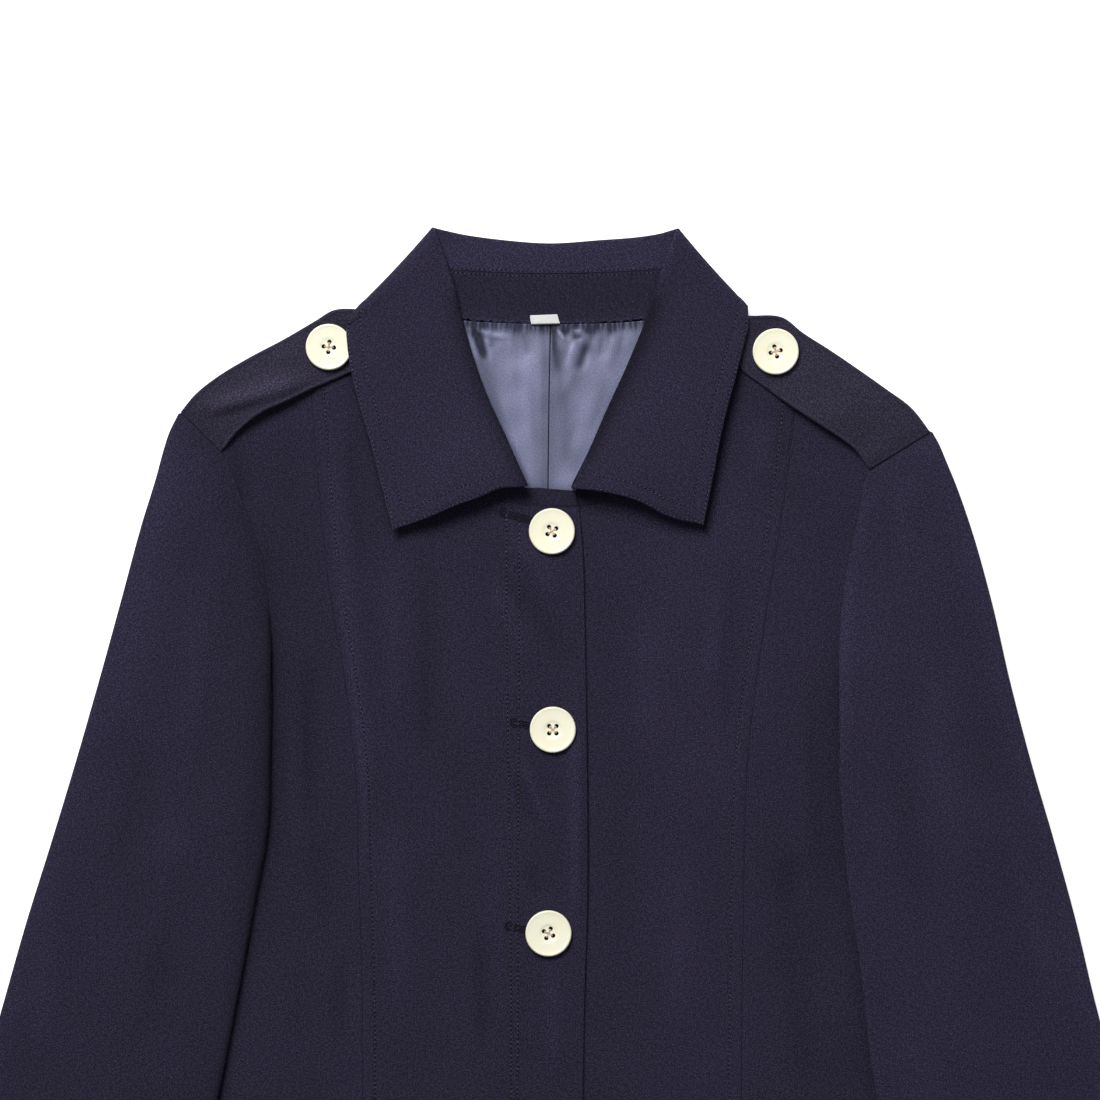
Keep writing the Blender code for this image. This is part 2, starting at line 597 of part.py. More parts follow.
def make_lining(side, outer):
    turn = 1 if side == "right" else -1
    seam = smooth(LINING_SEAM)
    seam[:, 0] -= turn * GAP / 2
    edge = smooth(outer)
    neck = smooth(NECK_SEAM[:3] if side == "right" else NECK_SEAM[:1:-1])
    neck[0], neck[-1] = edge[0], seam[0]
    bottom = np.vstack([edge[-1:], seam[-1:]])
    grid = coons(neck, bottom, edge, seam, evenly(5), evenly(6, 140, LIFT_ROWS))
    sheet(f"lining_{side}", raised(grid, LINING_Z + fall_lift(grid)), LINING_CLOTH, LINING)


def make_label():
    table = np.array(LABEL)
    grid = np.stack([table[:, :2], table[:, 2:]], axis=1)
    height = STAND_BACK_Z + COLLAR_CLOTH / 2 + GAP + LABEL_CLOTH / 2
    sheet("label", raised(grid, height), LABEL_CLOTH, TAPE)


def turned_button():
    mesh = bpy.data.meshes.new("button_profile")
    edges = [(i, i + 1) for i in range(len(BUTTON_PROFILE) - 1)]
    mesh.from_pydata([(r * MM, 0, z * MM) for r, z in BUTTON_PROFILE], edges, [])
    mesh.materials.append(RESIN)
    return mesh


def hole_pins():
    """Four pins that cut a button's holes."""
    shape = bmesh.new()
    for k in range(4):
        angle = math.radians(45 + 90 * k)
        made = bmesh.ops.create_cone(
            shape,
            cap_ends=True,
            segments=10,
            radius1=BUTTON_HOLE_RADIUS * MM,
            radius2=BUTTON_HOLE_RADIUS * MM,
            depth=8 * MM,
        )
        place = (
            BUTTON_HOLE_SPREAD * math.cos(angle) * MM,
            BUTTON_HOLE_SPREAD * math.sin(angle) * MM,
            1.5 * MM,
        )
        bmesh.ops.translate(shape, verts=made["verts"], vec=place)
    mesh = bpy.data.meshes.new("hole_pins")
    shape.to_mesh(mesh)
    shape.free()
    return mesh


def make_button(name, x, y, z, turn, profile, pins):
    button = bpy.data.objects.new(name, profile)
    JACKET.objects.link(button)
    button.location = (x * MM, y * MM, z * MM)
    button.rotation_euler = (0, 0, math.radians(turn))
    screw = button.modifiers.new("turned", "SCREW")
    screw.steps = screw.render_steps = BUTTON_STEPS
    screw.use_merge_vertices = True
    screw.merge_threshold = 0.00001
    screw.use_smooth_shade = True
    cutter = bpy.data.objects.new(f"{name}_pins", pins)
    CUTTERS.objects.link(cutter)
    cutter.parent = button
    cutter.hide_render = True
    cutter.display_type = "WIRE"
    cut = button.modifiers.new("holes", "BOOLEAN")
    cut.object = cutter


def make_buttons():
    profile, pins = turned_button(), hole_pins()
    top = FRONT_Z + LAP_RISE + CLOTH / 2 + GAP
    for number, ((x, y), turn) in enumerate(zip(FRONT_BUTTONS, FRONT_BUTTON_TURN), 1):
        make_button(f"button_{number}", x, y, top, turn, profile, pins)
    for side, (x, y, turn) in STRAP_BUTTONS.items():
        z = STRAP_Z + STRAP_CLOTH / 2 + 2 * GAP
        make_button(f"strap_button_{side}", x, y, z, turn, profile, pins)


for old in list(bpy.data.objects):
    bpy.data.objects.remove(old, do_unlink=True)
JACKET = bpy.data.collections.new("field_jacket")
CUTTERS = bpy.data.collections.new("cutters")
for collection in (JACKET, CUTTERS):
    bpy.context.scene.collection.children.link(collection)

TWILL = material("navy_twill", NAVY, 0.85)
LINING = material("blue_satin", SATIN, 0.35)
RESIN = material("cream_resin", CREAM, 0.25)
TAPE = material("white_tape", WHITE, 0.7)

for side_name, side_seams in (("right", RIGHT), ("left", LEFT)):
    make_front(side_name, side_seams)
    make_back(side_name, side_seams)
    make_under_sleeve(side_name, side_seams)
    make_top_sleeve(side_name, side_seams)
make_fall()
make_stand()
make_strap("right", STRAP_RIGHT)
make_strap("left", STRAP_LEFT)
make_lining("right", LINING_OUTER_RIGHT)
make_lining("left", LINING_OUTER_LEFT)
make_label()
make_buttons()
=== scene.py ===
"""A navy field jacket laid flat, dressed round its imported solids.

Sizes are in millimetres until a mesh is made. +X is the wearer's left, +Y runs from the hem to
the collar and +Z is up from the surface that the jacket lies on. Each cloth piece is a thin
closed wall round a middle surface, which follows its solid and adds the cloth's creases.
"""

import math

import bmesh
import bpy
import numpy as np
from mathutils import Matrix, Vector
from mathutils.bvhtree import BVHTree


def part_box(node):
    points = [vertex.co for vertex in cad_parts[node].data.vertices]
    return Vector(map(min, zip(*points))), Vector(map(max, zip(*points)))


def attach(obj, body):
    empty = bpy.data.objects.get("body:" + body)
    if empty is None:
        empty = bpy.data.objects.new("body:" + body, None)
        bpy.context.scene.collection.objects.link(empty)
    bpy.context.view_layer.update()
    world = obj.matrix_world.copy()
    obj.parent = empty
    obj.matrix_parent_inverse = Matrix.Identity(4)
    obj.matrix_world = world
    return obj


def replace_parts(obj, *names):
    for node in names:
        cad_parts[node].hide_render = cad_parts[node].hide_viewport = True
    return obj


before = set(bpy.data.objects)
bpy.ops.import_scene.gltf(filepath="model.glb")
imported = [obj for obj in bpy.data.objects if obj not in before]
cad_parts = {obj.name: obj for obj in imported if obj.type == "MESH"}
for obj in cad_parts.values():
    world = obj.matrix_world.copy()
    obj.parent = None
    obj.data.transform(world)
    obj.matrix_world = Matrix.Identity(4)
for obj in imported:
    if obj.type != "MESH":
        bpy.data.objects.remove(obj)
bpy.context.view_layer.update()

MM = 0.001
ROOT = "root"

# Walls and clearances
CLOTH = 1.2
COLLAR_CLOTH = 1.6
STRAP_CLOTH = 2.0
LINING_CLOTH = 0.7
LABEL_CLOTH = 0.3
GAP = 0.3
HEM_Y = -341.0

# Heights of the middle of each layer
BACK_Z = 0.6
LINING_Z = 2.1
FRONT_Z = 3.8
SEAM_Z = BACK_Z + CLOTH + 0.8
UNDER_SLEEVE_Z = FRONT_Z + CLOTH + 1.0
LAP_RISE = 2.0
STRAP_Z = FRONT_Z + CLOTH / 2 + GAP + STRAP_CLOTH / 2
STRAP_ARCH = 4.6  # how much a strap stands up
STRAP_ARCH_LENGTH = 0.66  # share of its length, from the sleeve, that does
STRAP_DROOP = 0.8  # how much its upper edge hangs
SLEEVE_OVER_BODY_Z = 8.6
SLEEVE_OVER_FLOOR_Z = 5.8
STAND_BACK_Z = 3.3
FALL_BACK_Z = 0.8

# The collar's back fall lies under the back panel, and lifts what is over it
FALL_EDGE_Y = 269.0
FALL_EDGE_RISE = 31.0
FALL_HALF_WIDTH = 105.0
FALL_LIFT = 2.1

# Each half of the body: x, y of its seams from the shoulder or neck down
RIGHT = {
    "shoulder": ((-196.1, 244.8), (-169.5, 263.0), (-147.0, 277.0), (-131.0, 286.0)),
    "shoulder_top": ((-131.0, 286.0), (-112.0, 293.5), (-95.0, 296.3), (-78.0, 299.0)),
    "neck": ((-78.0, 299.0), (-73.5, 280.0), (-66.5, 256.0), (-55.0, 231.0), (-41.0, 209.0),
             (-27.0, 197.5)),
    "neck_end": ((-27.0, 197.5), (-6.0, 195.2), (14.3, 195.6)),
    "edge": ((14.3, 195.6), (16.2, 175.0), (17.5, 132.0), (18.6, 60.0), (18.9, -10.0), (17.2, -72.0),
             (16.2, -150.0), (16.0, -250.0), (15.5, HEM_Y)),
    "princess": ((-131.0, 286.0), (-127.0, 250.0), (-123.2, 202.0), (-117.2, 147.0), (-109.3, 100.0),
                 (-103.4, 46.0), (-102.3, 0.0), (-100.8, -42.0), (-100.2, -90.0), (-101.0, -170.0),
                 (-105.0, -260.0), (-110.0, HEM_Y)),
    "armhole": ((-196.1, 244.8), (-174.4, 223.1), (-163.8, 198.0), (-153.7, 170.0), (-149.3, 135.0),
                (-148.8, 104.0)),
    "underarm": ((-148.8, 104.0), (-152.0, 68.0), (-163.0, 41.0), (-187.0, 22.0), (-222.0, 14.0)),
    "side": ((-222.0, 14.0), (-212.0, -50.0), (-208.0, -110.0), (-213.0, -190.0), (-225.0, -270.0),
             (-239.0, HEM_Y)),
    "back_armhole": ((-196.1, 244.8), (-195.0, 190.0), (-198.0, 140.0), (-203.0, 90.0), (-211.0, 45.0),
                     (-222.0, 14.0)),
    "sleeve_outer": ((-197.2, 244.3), (-202.4, 233.8), (-205.4, 224.4), (-209.2, 210.4),
                     (-216.4, 187.0), (-227.8, 145.0), (-239.5, 102.5), (-251.7, 60.0),
                     (-264.4, 18.0), (-277.7, -24.5), (-289.8, -67.0), (-313.0, -150.0),
                     (-340.0, -247.0), (-366.5, HEM_Y)),
    "sleeve_fold": ((-148.8, 104.0), (-149.4, 60.0), (-150.4, 26.0), (-157.0, -12.0), (-167.0, -67.0),
                    (-178.0, -122.0), (-200.0, -200.0), (-226.0, -275.0), (-248.0, HEM_Y)),
}
LEFT = {
    "shoulder": ((199.7, 235.3), (187.0, 246.5), (169.5, 260.0), (147.0, 274.0), (131.0, 282.0)),
    "shoulder_top": ((131.0, 282.0), (112.0, 290.5), (95.0, 295.3), (78.0, 299.0)),
    "neck": ((78.0, 299.0), (74.0, 278.0), (66.0, 252.0), (54.0, 228.0), (41.0, 209.0), (27.0, 197.5)),
    "neck_end": ((27.0, 197.5), (3.0, 193.5), (-21.0, 194.5)),
    "edge": ((-21.0, 194.5), (-21.5, 60.0), (-22.0, -72.0), (-22.0, -200.0), (-22.0, HEM_Y)),
    "princess": ((131.0, 282.0), (128.0, 238.0), (120.2, 180.0), (112.0, 127.0), (105.8, 82.0),
                 (102.9, 44.0), (102.0, 7.0), (101.2, -40.0), (100.6, -88.0), (101.0, -170.0),
                 (105.0, -260.0), (110.0, HEM_Y)),
    "armhole": ((199.7, 235.3), (182.0, 224.0), (168.0, 213.5), (162.0, 190.0), (154.0, 147.0),
                (152.4, 120.0), (152.1, 96.0)),
    "underarm": ((152.1, 96.0), (154.0, 62.0), (164.0, 39.0), (187.0, 22.0), (222.0, 14.0)),
    "side": ((222.0, 14.0), (212.0, -50.0), (208.0, -110.0), (213.0, -190.0), (225.0, -270.0),
             (239.0, HEM_Y)),
    "back_armhole": ((199.7, 235.3), (196.0, 188.0), (198.0, 140.0), (203.0, 90.0), (211.0, 45.0),
                     (222.0, 14.0)),
    "sleeve_outer": ((201.0, 234.4), (204.8, 227.6), (208.4, 219.0), (213.6, 206.4), (220.3, 187.5),
                     (232.4, 145.0), (242.2, 102.5), (253.3, 60.0), (265.5, 18.0), (277.1, -24.5),
                     (287.2, -67.0), (311.0, -150.0), (340.0, -247.0), (366.5, HEM_Y)),
    "sleeve_fold": ((152.1, 96.0), (152.9, 43.0), (156.4, 2.0), (162.7, -43.5), (172.8, -120.0),
                    (196.0, -200.0), (224.0, -275.0), (248.0, HEM_Y)),
}
SEAMS = {"right": RIGHT, "left": LEFT}
SIDES = ("right", "left")
TURN = {"right": 1, "left": -1}  # which way a grid of each side faces

# Shoulder straps from the sleeve seam to the tip: upper edge x, y, lower edge x, y
STRAP_EDGES = {
    "right": (
        (-195.8, 246.0, -174.2, 224.6),
        (-188.0, 254.9, -165.5, 234.9),
        (-176.0, 264.1, -154.0, 243.9),
        (-159.5, 274.0, -140.0, 250.5),
        (-143.0, 282.9, -125.5, 257.5),
        (-125.6, 293.1, -110.0, 264.3),
        (-116.0, 298.7, -100.5, 269.0),
        (-99.0, 299.4, -92.5, 283.0),
    ),
    "left": (
        (199.6, 235.4, 167.2, 215.2),
        (190.5, 246.8, 160.5, 224.5),
        (176.5, 257.2, 148.0, 233.8),
        (161.0, 268.2, 135.5, 241.9),
        (146.4, 278.3, 122.5, 250.7),
        (132.4, 287.4, 110.0, 259.8),
        (122.6, 294.9, 101.0, 266.5),
        (103.0, 296.0, 94.0, 281.0),
    ),
}

# Sections of the collar, from the neck seam over the stand's seam with the fall and the roll line
# to the fall's edge. On the fronts: share along the neck seam, stand seam x, y, roll x, y,
# edge x, y, stand seam z, z of the leaf near the roll, z of its edge, bow of the leaf along y
COLLAR_ROWS = {
    "right": (
        (0.765, -17.0, 206.6, -13.2, 205.6, -84.0, 182.4, 6.0, 8.3, 8.5, 2.4),
        (0.70, -23.0, 214.0, -17.8, 215.6, -88.0, 198.0, 6.0, 8.3, 8.9, 1.5),
        (0.59, -31.5, 230.5, -25.0, 232.0, -93.5, 220.5, 5.8, 8.3, 9.3, 2.0),
        (0.40, -43.0, 253.5, -35.6, 255.3, -101.4, 248.0, 5.6, 8.4, 9.8, 2.0),
        (0.25, -52.5, 275.5, -43.5, 278.0, -106.5, 269.0, 5.6, 8.6, 11.5, 1.0),
        (0.14, -58.5, 291.5, -48.0, 294.0, -108.2, 281.5, 5.6, 8.8, 11.7, 0.0),
        (0.05, -64.0, 312.0, -55.0, 320.3, -108.2, 290.0, 5.6, 9.2, 10.8, 0.0),
    ),
    "left": (
        (0.05, 66.0, 311.0, 58.4, 318.6, 104.0, 290.5, 5.6, 9.0, 9.8, 0.0),
        (0.14, 60.0, 291.5, 50.4, 294.0, 100.8, 278.0, 5.6, 8.6, 9.6, 0.5),
        (0.27, 49.5, 266.5, 40.2, 269.0, 96.8, 262.0, 5.6, 8.2, 9.4, 2.0),
        (0.42, 37.0, 243.5, 29.6, 245.8, 90.5, 238.0, 5.5, 8.0, 9.0, 3.0),
        (0.58, 25.0, 221.5, 19.6, 223.0, 85.6, 212.5, 4.7, 7.6, 8.6, 3.5),
        (0.70, 17.6, 206.0, 11.8, 207.4, 81.5, 192.0, 4.2, 7.2, 8.3, 3.6),
        (0.745, 15.0, 204.4, 10.6, 204.6, 80.0, 184.8, 4.0, 7.1, 8.2, 3.8),
    ),
}
# The neck point, stand seam, roll line and edge where the collar folds to the back: x, y of each
COLLAR_CORNER = {
    "right": (-77.4, 300.4, -66.6, 322.2, -63.0, 342.1, -103.6, 299.0),
    "left": (77.4, 300.4, 68.6, 322.2, 66.7, 341.6, 103.6, 300.6),
}
# The same four on the back
COLLAR_BACK = (
    (-62.0, 297.2, -60.0, 320.9, -57.2, 340.7, -95.0, 291.6),
    (-46.6, 294.6, -47.0, 319.9, -46.8, 338.4, -70.0, 281.0),
    (-24.0, 292.8, -24.6, 318.8, -25.6, 335.5, -36.0, 272.0),
    (0.0, 292.2, -1.0, 318.3, -1.0, 333.8, 0.0, FALL_EDGE_Y),
    (25.0, 292.8, 24.4, 318.8, 25.4, 335.5, 36.0, 272.0),
    (49.3, 294.8, 47.0, 319.9, 46.6, 337.2, 70.0, 281.0),
    (63.0, 297.2, 61.0, 320.9, 58.0, 339.1, 95.0, 292.5),
)
# The stand's ends past the fall: share along the neck seam, stand seam x, y, z
STAND_ENDS = {
    "right": ((1.0, 12.4, 203.4, 5.9), (0.88, -6.0, 204.9, 5.9)),
    "left": ((0.865, 3.0, 201.8, 4.0), (0.97, -13.0, 202.4, 4.0)),
}

# The neck seam at the back, and the lining that shows inside it
NECK_SEAM = ((-76.5, 298.2), (-46.6, 293.6), (0.0, 291.4), (49.3, 293.6), (76.5, 298.2))
LINING_BOTTOM_Y = 152.0
LINING_SEAM = ((-0.7, 291.4), (-1.5, 250.0), (-2.0, 205.0), (-2.2, LINING_BOTTOM_Y))
LINING_OUTER = {
    "right": ((-62.0, 294.6), (-71.0, 262.0), (-68.0, 205.0), (-52.0, LINING_BOTTOM_Y)),
    "left": ((62.0, 294.6), (71.0, 262.0), (68.0, 205.0), (52.0, LINING_BOTTOM_Y)),
}

# The label's upper edge x, y and lower edge x, y
LABEL = ((-11.6, 295.8, -11.0, 291.3), (-4.0, 296.1, -3.7, 291.4), (2.9, 296.4, 4.4, 291.6))

# Creases of the cloth: width, height (below 0 a trough), then x, y of each one's points
FRONT_CREASES = (
    (5.5, 1.0, (-119, 262), (-116, 215), (-112, 180), (-107, 140), (-103, 100), (-98, 50), (-97, 5)),
    (5.5, -0.9, (-105, 250), (-104, 215), (-100, 182), (-97, 150)),
    (4.0, 0.3, (-118, 190), (-115, 160), (-111, 130), (-105, 90), (-99, 40), (-98, 4)),
    (7.0, 0.9, (-86, 176), (-84, 125), (-81, 65)),
    (6.0, -1.0, (-67, 180), (-65, 130), (-65, 85), (-63, 40)),
    (5.5, -1.2, (-26, 164), (-10, 138), (2, 120), (14, 100)),
    (7.0, 1.0, (-22, 184), (-8, 163), (6, 140)),
    (5.0, 0.8, (-34, 158), (-22, 130), (-12, 104)),
    (5.0, -0.8, (-15, 72), (-8, 50), (3, 22)),
    (4.5, 1.3, (-17, 68), (-9, 44), (2, 18)),
    (4.0, -0.8, (-21, 54), (-15, 36), (-8, 20)),
    (4.0, -0.8, (-13, 8), (-8, -6), (-2, -16)),
    (5.0, -0.8, (-129, 126), (-128, 70), (-126, 15)),
    (4.5, 0.5, (-138, 90), (-137, 40), (-134, -10)),
    (6.0, -0.5, (-124, 30), (-121, -10), (-117, -46)),
    (7.0, -0.5, (-54, 90), (-49, 30), (-44, -20)),
    (5.5, -1.2, (-38, -22), (-36, -58), (-35, -104)),
    (6.0, 1.0, (0, -36), (1, -75), (2, -116)),
    (4.0, 1.2, (10.5, 112), (11.5, 40), (12, -50)),
    (5.0, -0.9, (-168, 234), (-165, 212), (-162, 188)),
    (5.0, -0.7, (-112, -38), (-112, -98)),
    (4.5, 0.6, (-105, -40), (-106, -100)),
    (6.0, -0.5, (-134, -42), (-137, -100)),
    (8.0, 0.9, (-84, 40), (-82, -20), (-80, -90)),
    (4.0, 0.3, (-101, 80), (-98, 40), (-97, -5)),
    (3.0, 0.6, (13, 100), (14, 40), (14, -50)),
    (7.0, 0.7, (-28, 20), (-31, -40), (-30, -110)),
    (6.0, -0.8, (121, 254), (124, 234), (122, 210)),
    (6.5, 0.8, (111, 240), (110, 204)),
    (9.0, -0.6, (98, 192), (96, 140), (95, 92), (95, 40)),
    (8.0, 0.6, (49, 150), (51, 100), (50, 40)),
    (8.0, -0.9, (142, 110), (141, 62), (143, 10), (147, -38)),
    (6.0, -0.4, (118, -24), (127, -4), (135, 15)),
    (9.0, 0.7, (70, 20), (68, -40), (66, -105)),
    (7.0, -0.5, (36, 60), (37, 0), (39, -60)),
    (7.0, -0.7, (129, -46), (132, -84), (137, -130)),
    (6.0, 0.8, (89, 158), (87, 130), (84, 96)),
    (6.0, -0.3, (124, 8), (126, -16), (129, -34)),
    # soft folds that hang from the waist to the hem
    (9.0, 1.1, (-72, -130), (-76, -200), (-82, -270), (-84, -330)),
    (7.0, -0.7, (-46, -120), (-48, -190), (-53, -250)),
    (8.0, 0.9, (-132, -150), (-139, -220), (-150, -300)),
    (8.0, 1.0, (60, -150), (64, -220), (72, -310)),
    (6.0, -0.7, (88, -140), (92, -210), (98, -260)),
    (9.0, 1.0, (146, -190), (158, -260), (170, -325)),
    (6.0, -0.6, (-178, -60), (-182, -130), (-190, -210)),
    (7.0, 0.8, (30, -180), (28, -240), (31, -300)),
)
SLEEVE_CREASES = {
    "right": (
        (7.0, 0.7, (-268, -20), (-268, -62), (-272, -110)),
        (6.0, 0.6, (-190, 150), (-188, 105), (-193, 66)),
        (6.0, -0.6, (-176, 172), (-171, 140), (-170, 104)),
        (9.0, -0.7, (-196, 20), (-206, -40), (-221, -105)),
        (9.0, -0.9, (-214, 74), (-221, 34), (-232, -10)),
        (8.0, 0.7, (-198, 40), (-204, -10), (-212, -50)),
        (8.0, 0.7, (-296, -150), (-310, -215), (-318, -280)),
        (7.0, -0.6, (-240, -160), (-258, -230), (-270, -290)),
        (7.0, 0.6, (-216, -170), (-236, -240)),
        (4.0, 0.4, (-186, 226), (-184, 206)),
        (3.5, 0.35, (-180, 219), (-176, 196)),
    ),
    "left": (
        (3.6, 0.7, (169, 206), (164, 190), (163, 176), (167, 160)),
        (4.5, 0.6, (180, 216), (184, 192), (190, 162)),
        (4.5, -0.5, (175, 210), (178, 188), (183, 160)),
        (4.0, 0.4, (190, 214), (195, 192)),
        (4.5, 1.2, (160, 190), (156, 150), (154, 100), (155, 50)),
        (9.0, 0.7, (203, 120), (206, 62), (219, 0)),
        (8.0, -0.6, (182, 74), (190, 10), (205, -60)),
        (8.0, 0.7, (240, 40), (256, -20), (272, -84)),
        (8.0, 0.8, (292, -140), (308, -215), (322, -290)),
        (7.0, -0.6, (232, -110), (250, -190), (268, -262)),
        (7.0, 0.6, (206, -120), (226, -200), (242, -262)),
    ),
}
BACK_CREASES = (
    (9.0, 0.5, (-60, 200), (-66, 120), (-70, 30)),
    (9.0, 0.5, (70, 190), (76, 100), (78, 10)),
    (11.0, 0.5, (-120, 60), (-112, -60), (-118, -200)),
    (10.0, 0.5, (128, 80), (116, -50), (120, -180)),
    (8.0, 0.4, (36, -60), (40, -170), (52, -300)),
    (8.0, 0.4, (-40, -80), (-46, -190), (-50, -310)),
)
COLLAR_CREASES = (
    (12.0, 0.35, (-84, 268), (-80, 236), (-72, 206)),
    (12.0, 0.3, (80, 270), (77, 236), (66, 208)),
    (9.0, -0.25, (-58, 240), (-50, 220)),
    (9.0, -0.25, (54, 244), (44, 220)),
)
STRAP_CREASES = {
    "right": (
        (4.6, 2.6, (-194, 245), (-176, 248), (-156, 253.5), (-134, 261), (-122, 266)),
        (3.0, -0.7, (-180, 240), (-164, 245), (-146, 250)),
        (5.0, 0.6, (-150, 271), (-136, 276), (-128, 281)),
    ),
    "left": (
        (5.0, -0.6, (158, 224), (166, 230), (174, 237)),
        (7.0, 0.6, (150, 264), (166, 256), (180, 245)),
        (5.0, 0.5, (140, 252), (150, 246), (158, 238)),
    ),
}
# The satin's folds just under the neck seam and down its length
LINING_CREASES = (
    (1.3, 0.7, (-50.0, 289.6), (-40.0, 288.4), (-32.0, 285.4), (-20.0, 284.6)),
    (2.2, -1.3, (-41.4, 292), (-39.0, 282), (-34.6, 270)),
    (0.5, -0.8, (-41.4, 296), (-41.6, 289), (-43.0, 281)),
    (1.6, 0.7, (-44.4, 289), (-42.4, 280), (-39.6, 270)),
    (2.4, -0.5, (-32.0, 288), (-31.5, 282), (-32.0, 277)),
    (2.0, 0.5, (-36.0, 288), (-34.0, 280), (-31.6, 268)),
    (3.6, 0.4, (-22.0, 287), (-19.6, 276), (-18.0, 258)),
    (2.2, -0.35, (-15.6, 289), (-13.6, 282), (-12.8, 272)),
    (2.0, -0.7, (1.6, 290), (1.2, 283), (1.8, 274), (3.4, 262)),
    (1.2, -0.9, (4.2, 293), (6.0, 288), (8.0, 283)),
    (1.2, 0.8, (2.2, 289), (4.4, 286.4), (7.4, 282)),
    (1.6, -0.8, (10.4, 285.4), (13.4, 284), (16.6, 285)),
    (1.4, 0.8, (11.0, 288.0), (14.2, 287), (17.0, 288)),
    (3.4, -0.9, (19.0, 284), (15.4, 276), (11.4, 265)),
    (2.4, 0.7, (13.4, 284), (10.4, 276), (6.6, 264)),
    (1.2, -0.6, (18.2, 292), (18.6, 286)),
    (2.6, 0.6, (24.0, 288), (20.6, 276), (16.4, 262)),
    (2.0, -0.45, (27.0, 288), (26.2, 281), (24.8, 272)),
    (2.4, -0.4, (38.0, 288), (36.4, 280), (34.8, 272)),
    (2.2, 0.5, (33.0, 289), (31.8, 280), (29.6, 268)),
    (5.0, 0.5, (-28.0, 266), (-24.0, 240), (-17.0, 214)),
    (4.5, -0.5, (-11.0, 268), (-9.6, 246), (-7.4, 222)),
    (5.0, -0.5, (10.0, 260), (8.6, 240), (5.6, 214)),
    (5.0, 0.5, (20.0, 258), (15.0, 236), (9.0, 214)),
    (4.0, -0.4, (30.0, 266), (24.0, 244), (17.0, 228)),
)
# Painted sheen and shade of the satin, in lighter and darker stripes: width, strength, then x, y of each
# one's points
LINING_PAINTED_SHADES = (
    (6.0, -0.38, (-45, 308), (-40, 279), (-33, 256), (-26, 240), (-20, 222)),
    (3.0, -0.12, (-41.0, 292), (-38.4, 282), (-34.2, 270)),
    (3.2, -0.3, (-20, 300), (-20, 282), (-18.5, 254)),
    (2.2, -0.16, (0.4, 296), (0.9, 283), (1.4, 270)),
    (4.0, -0.24, (-0.5, 300), (0.6, 262), (-0.5, 232), (-1.5, 180)),
    (3.0, -0.22, (5, 292), (4.5, 262), (4, 240)),
    (3.4, -0.18, (-4, 292), (-3.6, 262), (-4.4, 234)),
    (6.0, 0.26, (-13, 284), (-13, 250), (-11.5, 236), (-7, 206)),
    (3.4, -0.34, (22, 298), (16.5, 274), (12.5, 264), (3, 246)),
    (2.2, -0.25, (21, 300), (21.2, 281), (20.6, 266)),
    (3.6, -0.16, (9, 308), (8, 286), (7, 268)),
    (3.0, -0.3, (30.5, 300), (31, 282), (32, 264)),
    (4.0, 0.26, (50, 296), (35, 258), (27, 240), (12, 206)),
    (5.0, -0.26, (-10, 248), (-7.5, 214), (-6, 184)),
    (4.0, -0.2, (16, 246), (10, 230), (5, 214)),
    (3.5, 0.14, (11, 260), (10.5, 244), (9.5, 232)),
)
# Painted light and shade in the same form, over broad parts of the fronts and sleeves
BROAD_PAINTED_SHADES = (
    (3.0, 0.14, (-119, 215), (-112, 150), (-104, 90), (-98.5, 30), (-97, -40)),
    (22.0, -0.14, (-148, 290), (-143, 160), (-144, 60), (-140, -80)),
    (32.0, 0.12, (60, 280), (66, 120), (60, 0), (54, -60)),
    (22.0, 0.09, (98, 230), (100, 110), (99, 10)),
    (30.0, 0.12, (58, 10), (72, -70), (74, -200)),
    (12.0, -0.1, (112, 40), (123, -20), (128, -70)),
    (10.0, 0.1, (-168, -10), (-178, -80), (-196, -170)),
    (9.0, 0.16, (-198, 240), (-210, 180), (-228, 100), (-240, 60)),
    (12.0, -0.08, (-180, 120), (-182, 70), (-186, 20)),
)


# Curves and patches


def steps(line):
    """The length of each step of a polyline."""
    return np.linalg.norm(np.diff(line, axis=0), axis=1)


def stations(line):
    """How far along a polyline each of its points is."""
    return np.concatenate([[0.0], np.cumsum(steps(line))])


def sampled(line, place, wanted):
    """The points of a polyline at the wanted places, where its own points are at `place`."""
    return np.stack([np.interp(wanted, place, line[:, k]) for k in range(line.shape[1])], axis=1)


def smooth(points, step=3.0):
    """Points about `step` apart on one smooth curve through the given points."""
    knots = np.array(points, float)
    slope = np.gradient(knots, stations(knots), axis=0)
    out = []
    for i, length in enumerate(steps(knots)):
        count = max(1, round(length / step))
        t = (np.arange(count) / count)[:, None]
        near = 2 * t**3 - 3 * t**2 + 1
        far = 1 - near
        rise = (t**3 - 2 * t**2 + t) * length
        fall = (t**3 - t**2) * length
        out.append(near * knots[i] + far * knots[i + 1] + rise * slope[i] + fall * slope[i + 1])
    return np.vstack(out + [knots[-1:]])


def path(*pieces):
    """One polyline of several smooth curves, each starting where the last one ends."""
    curves = [smooth(piece) for piece in pieces]
    return np.vstack([curve[:-1] for curve in curves[:-1]] + [curves[-1]])


def divided(pieces, counts, start_extra=(), end_extra=()):
    """Shares of path(*pieces)'s length that part each piece into its count of equal steps.

    The extra stations are distances from the start and from the end.
    """
    lengths = [steps(smooth(piece)).sum() for piece in pieces]
    total = sum(lengths)
    begin = np.cumsum([0.0] + lengths[:-1])
    shares = [b + length * np.arange(n) / n for b, length, n in zip(begin, lengths, counts)]
    extra = list(start_extra) + [total - d for d in end_extra]
    return np.unique(np.concatenate(shares + [extra, [total]])) / total


def along(curve, shares):
    """The points at these shares of a polyline's length."""
    place = stations(curve)
    return sampled(curve, place / place[-1], shares)


def evenly(count, length, start_extra=(), end_extra=()):
    """Shares from 0 to 1 in `count` steps, with extra ones at distances from the ends of a `length`."""
    extra = [d / length for d in start_extra] + [1 - d / length for d in end_extra]
    return np.unique(np.concatenate([np.linspace(0, 1, count + 1), extra]))


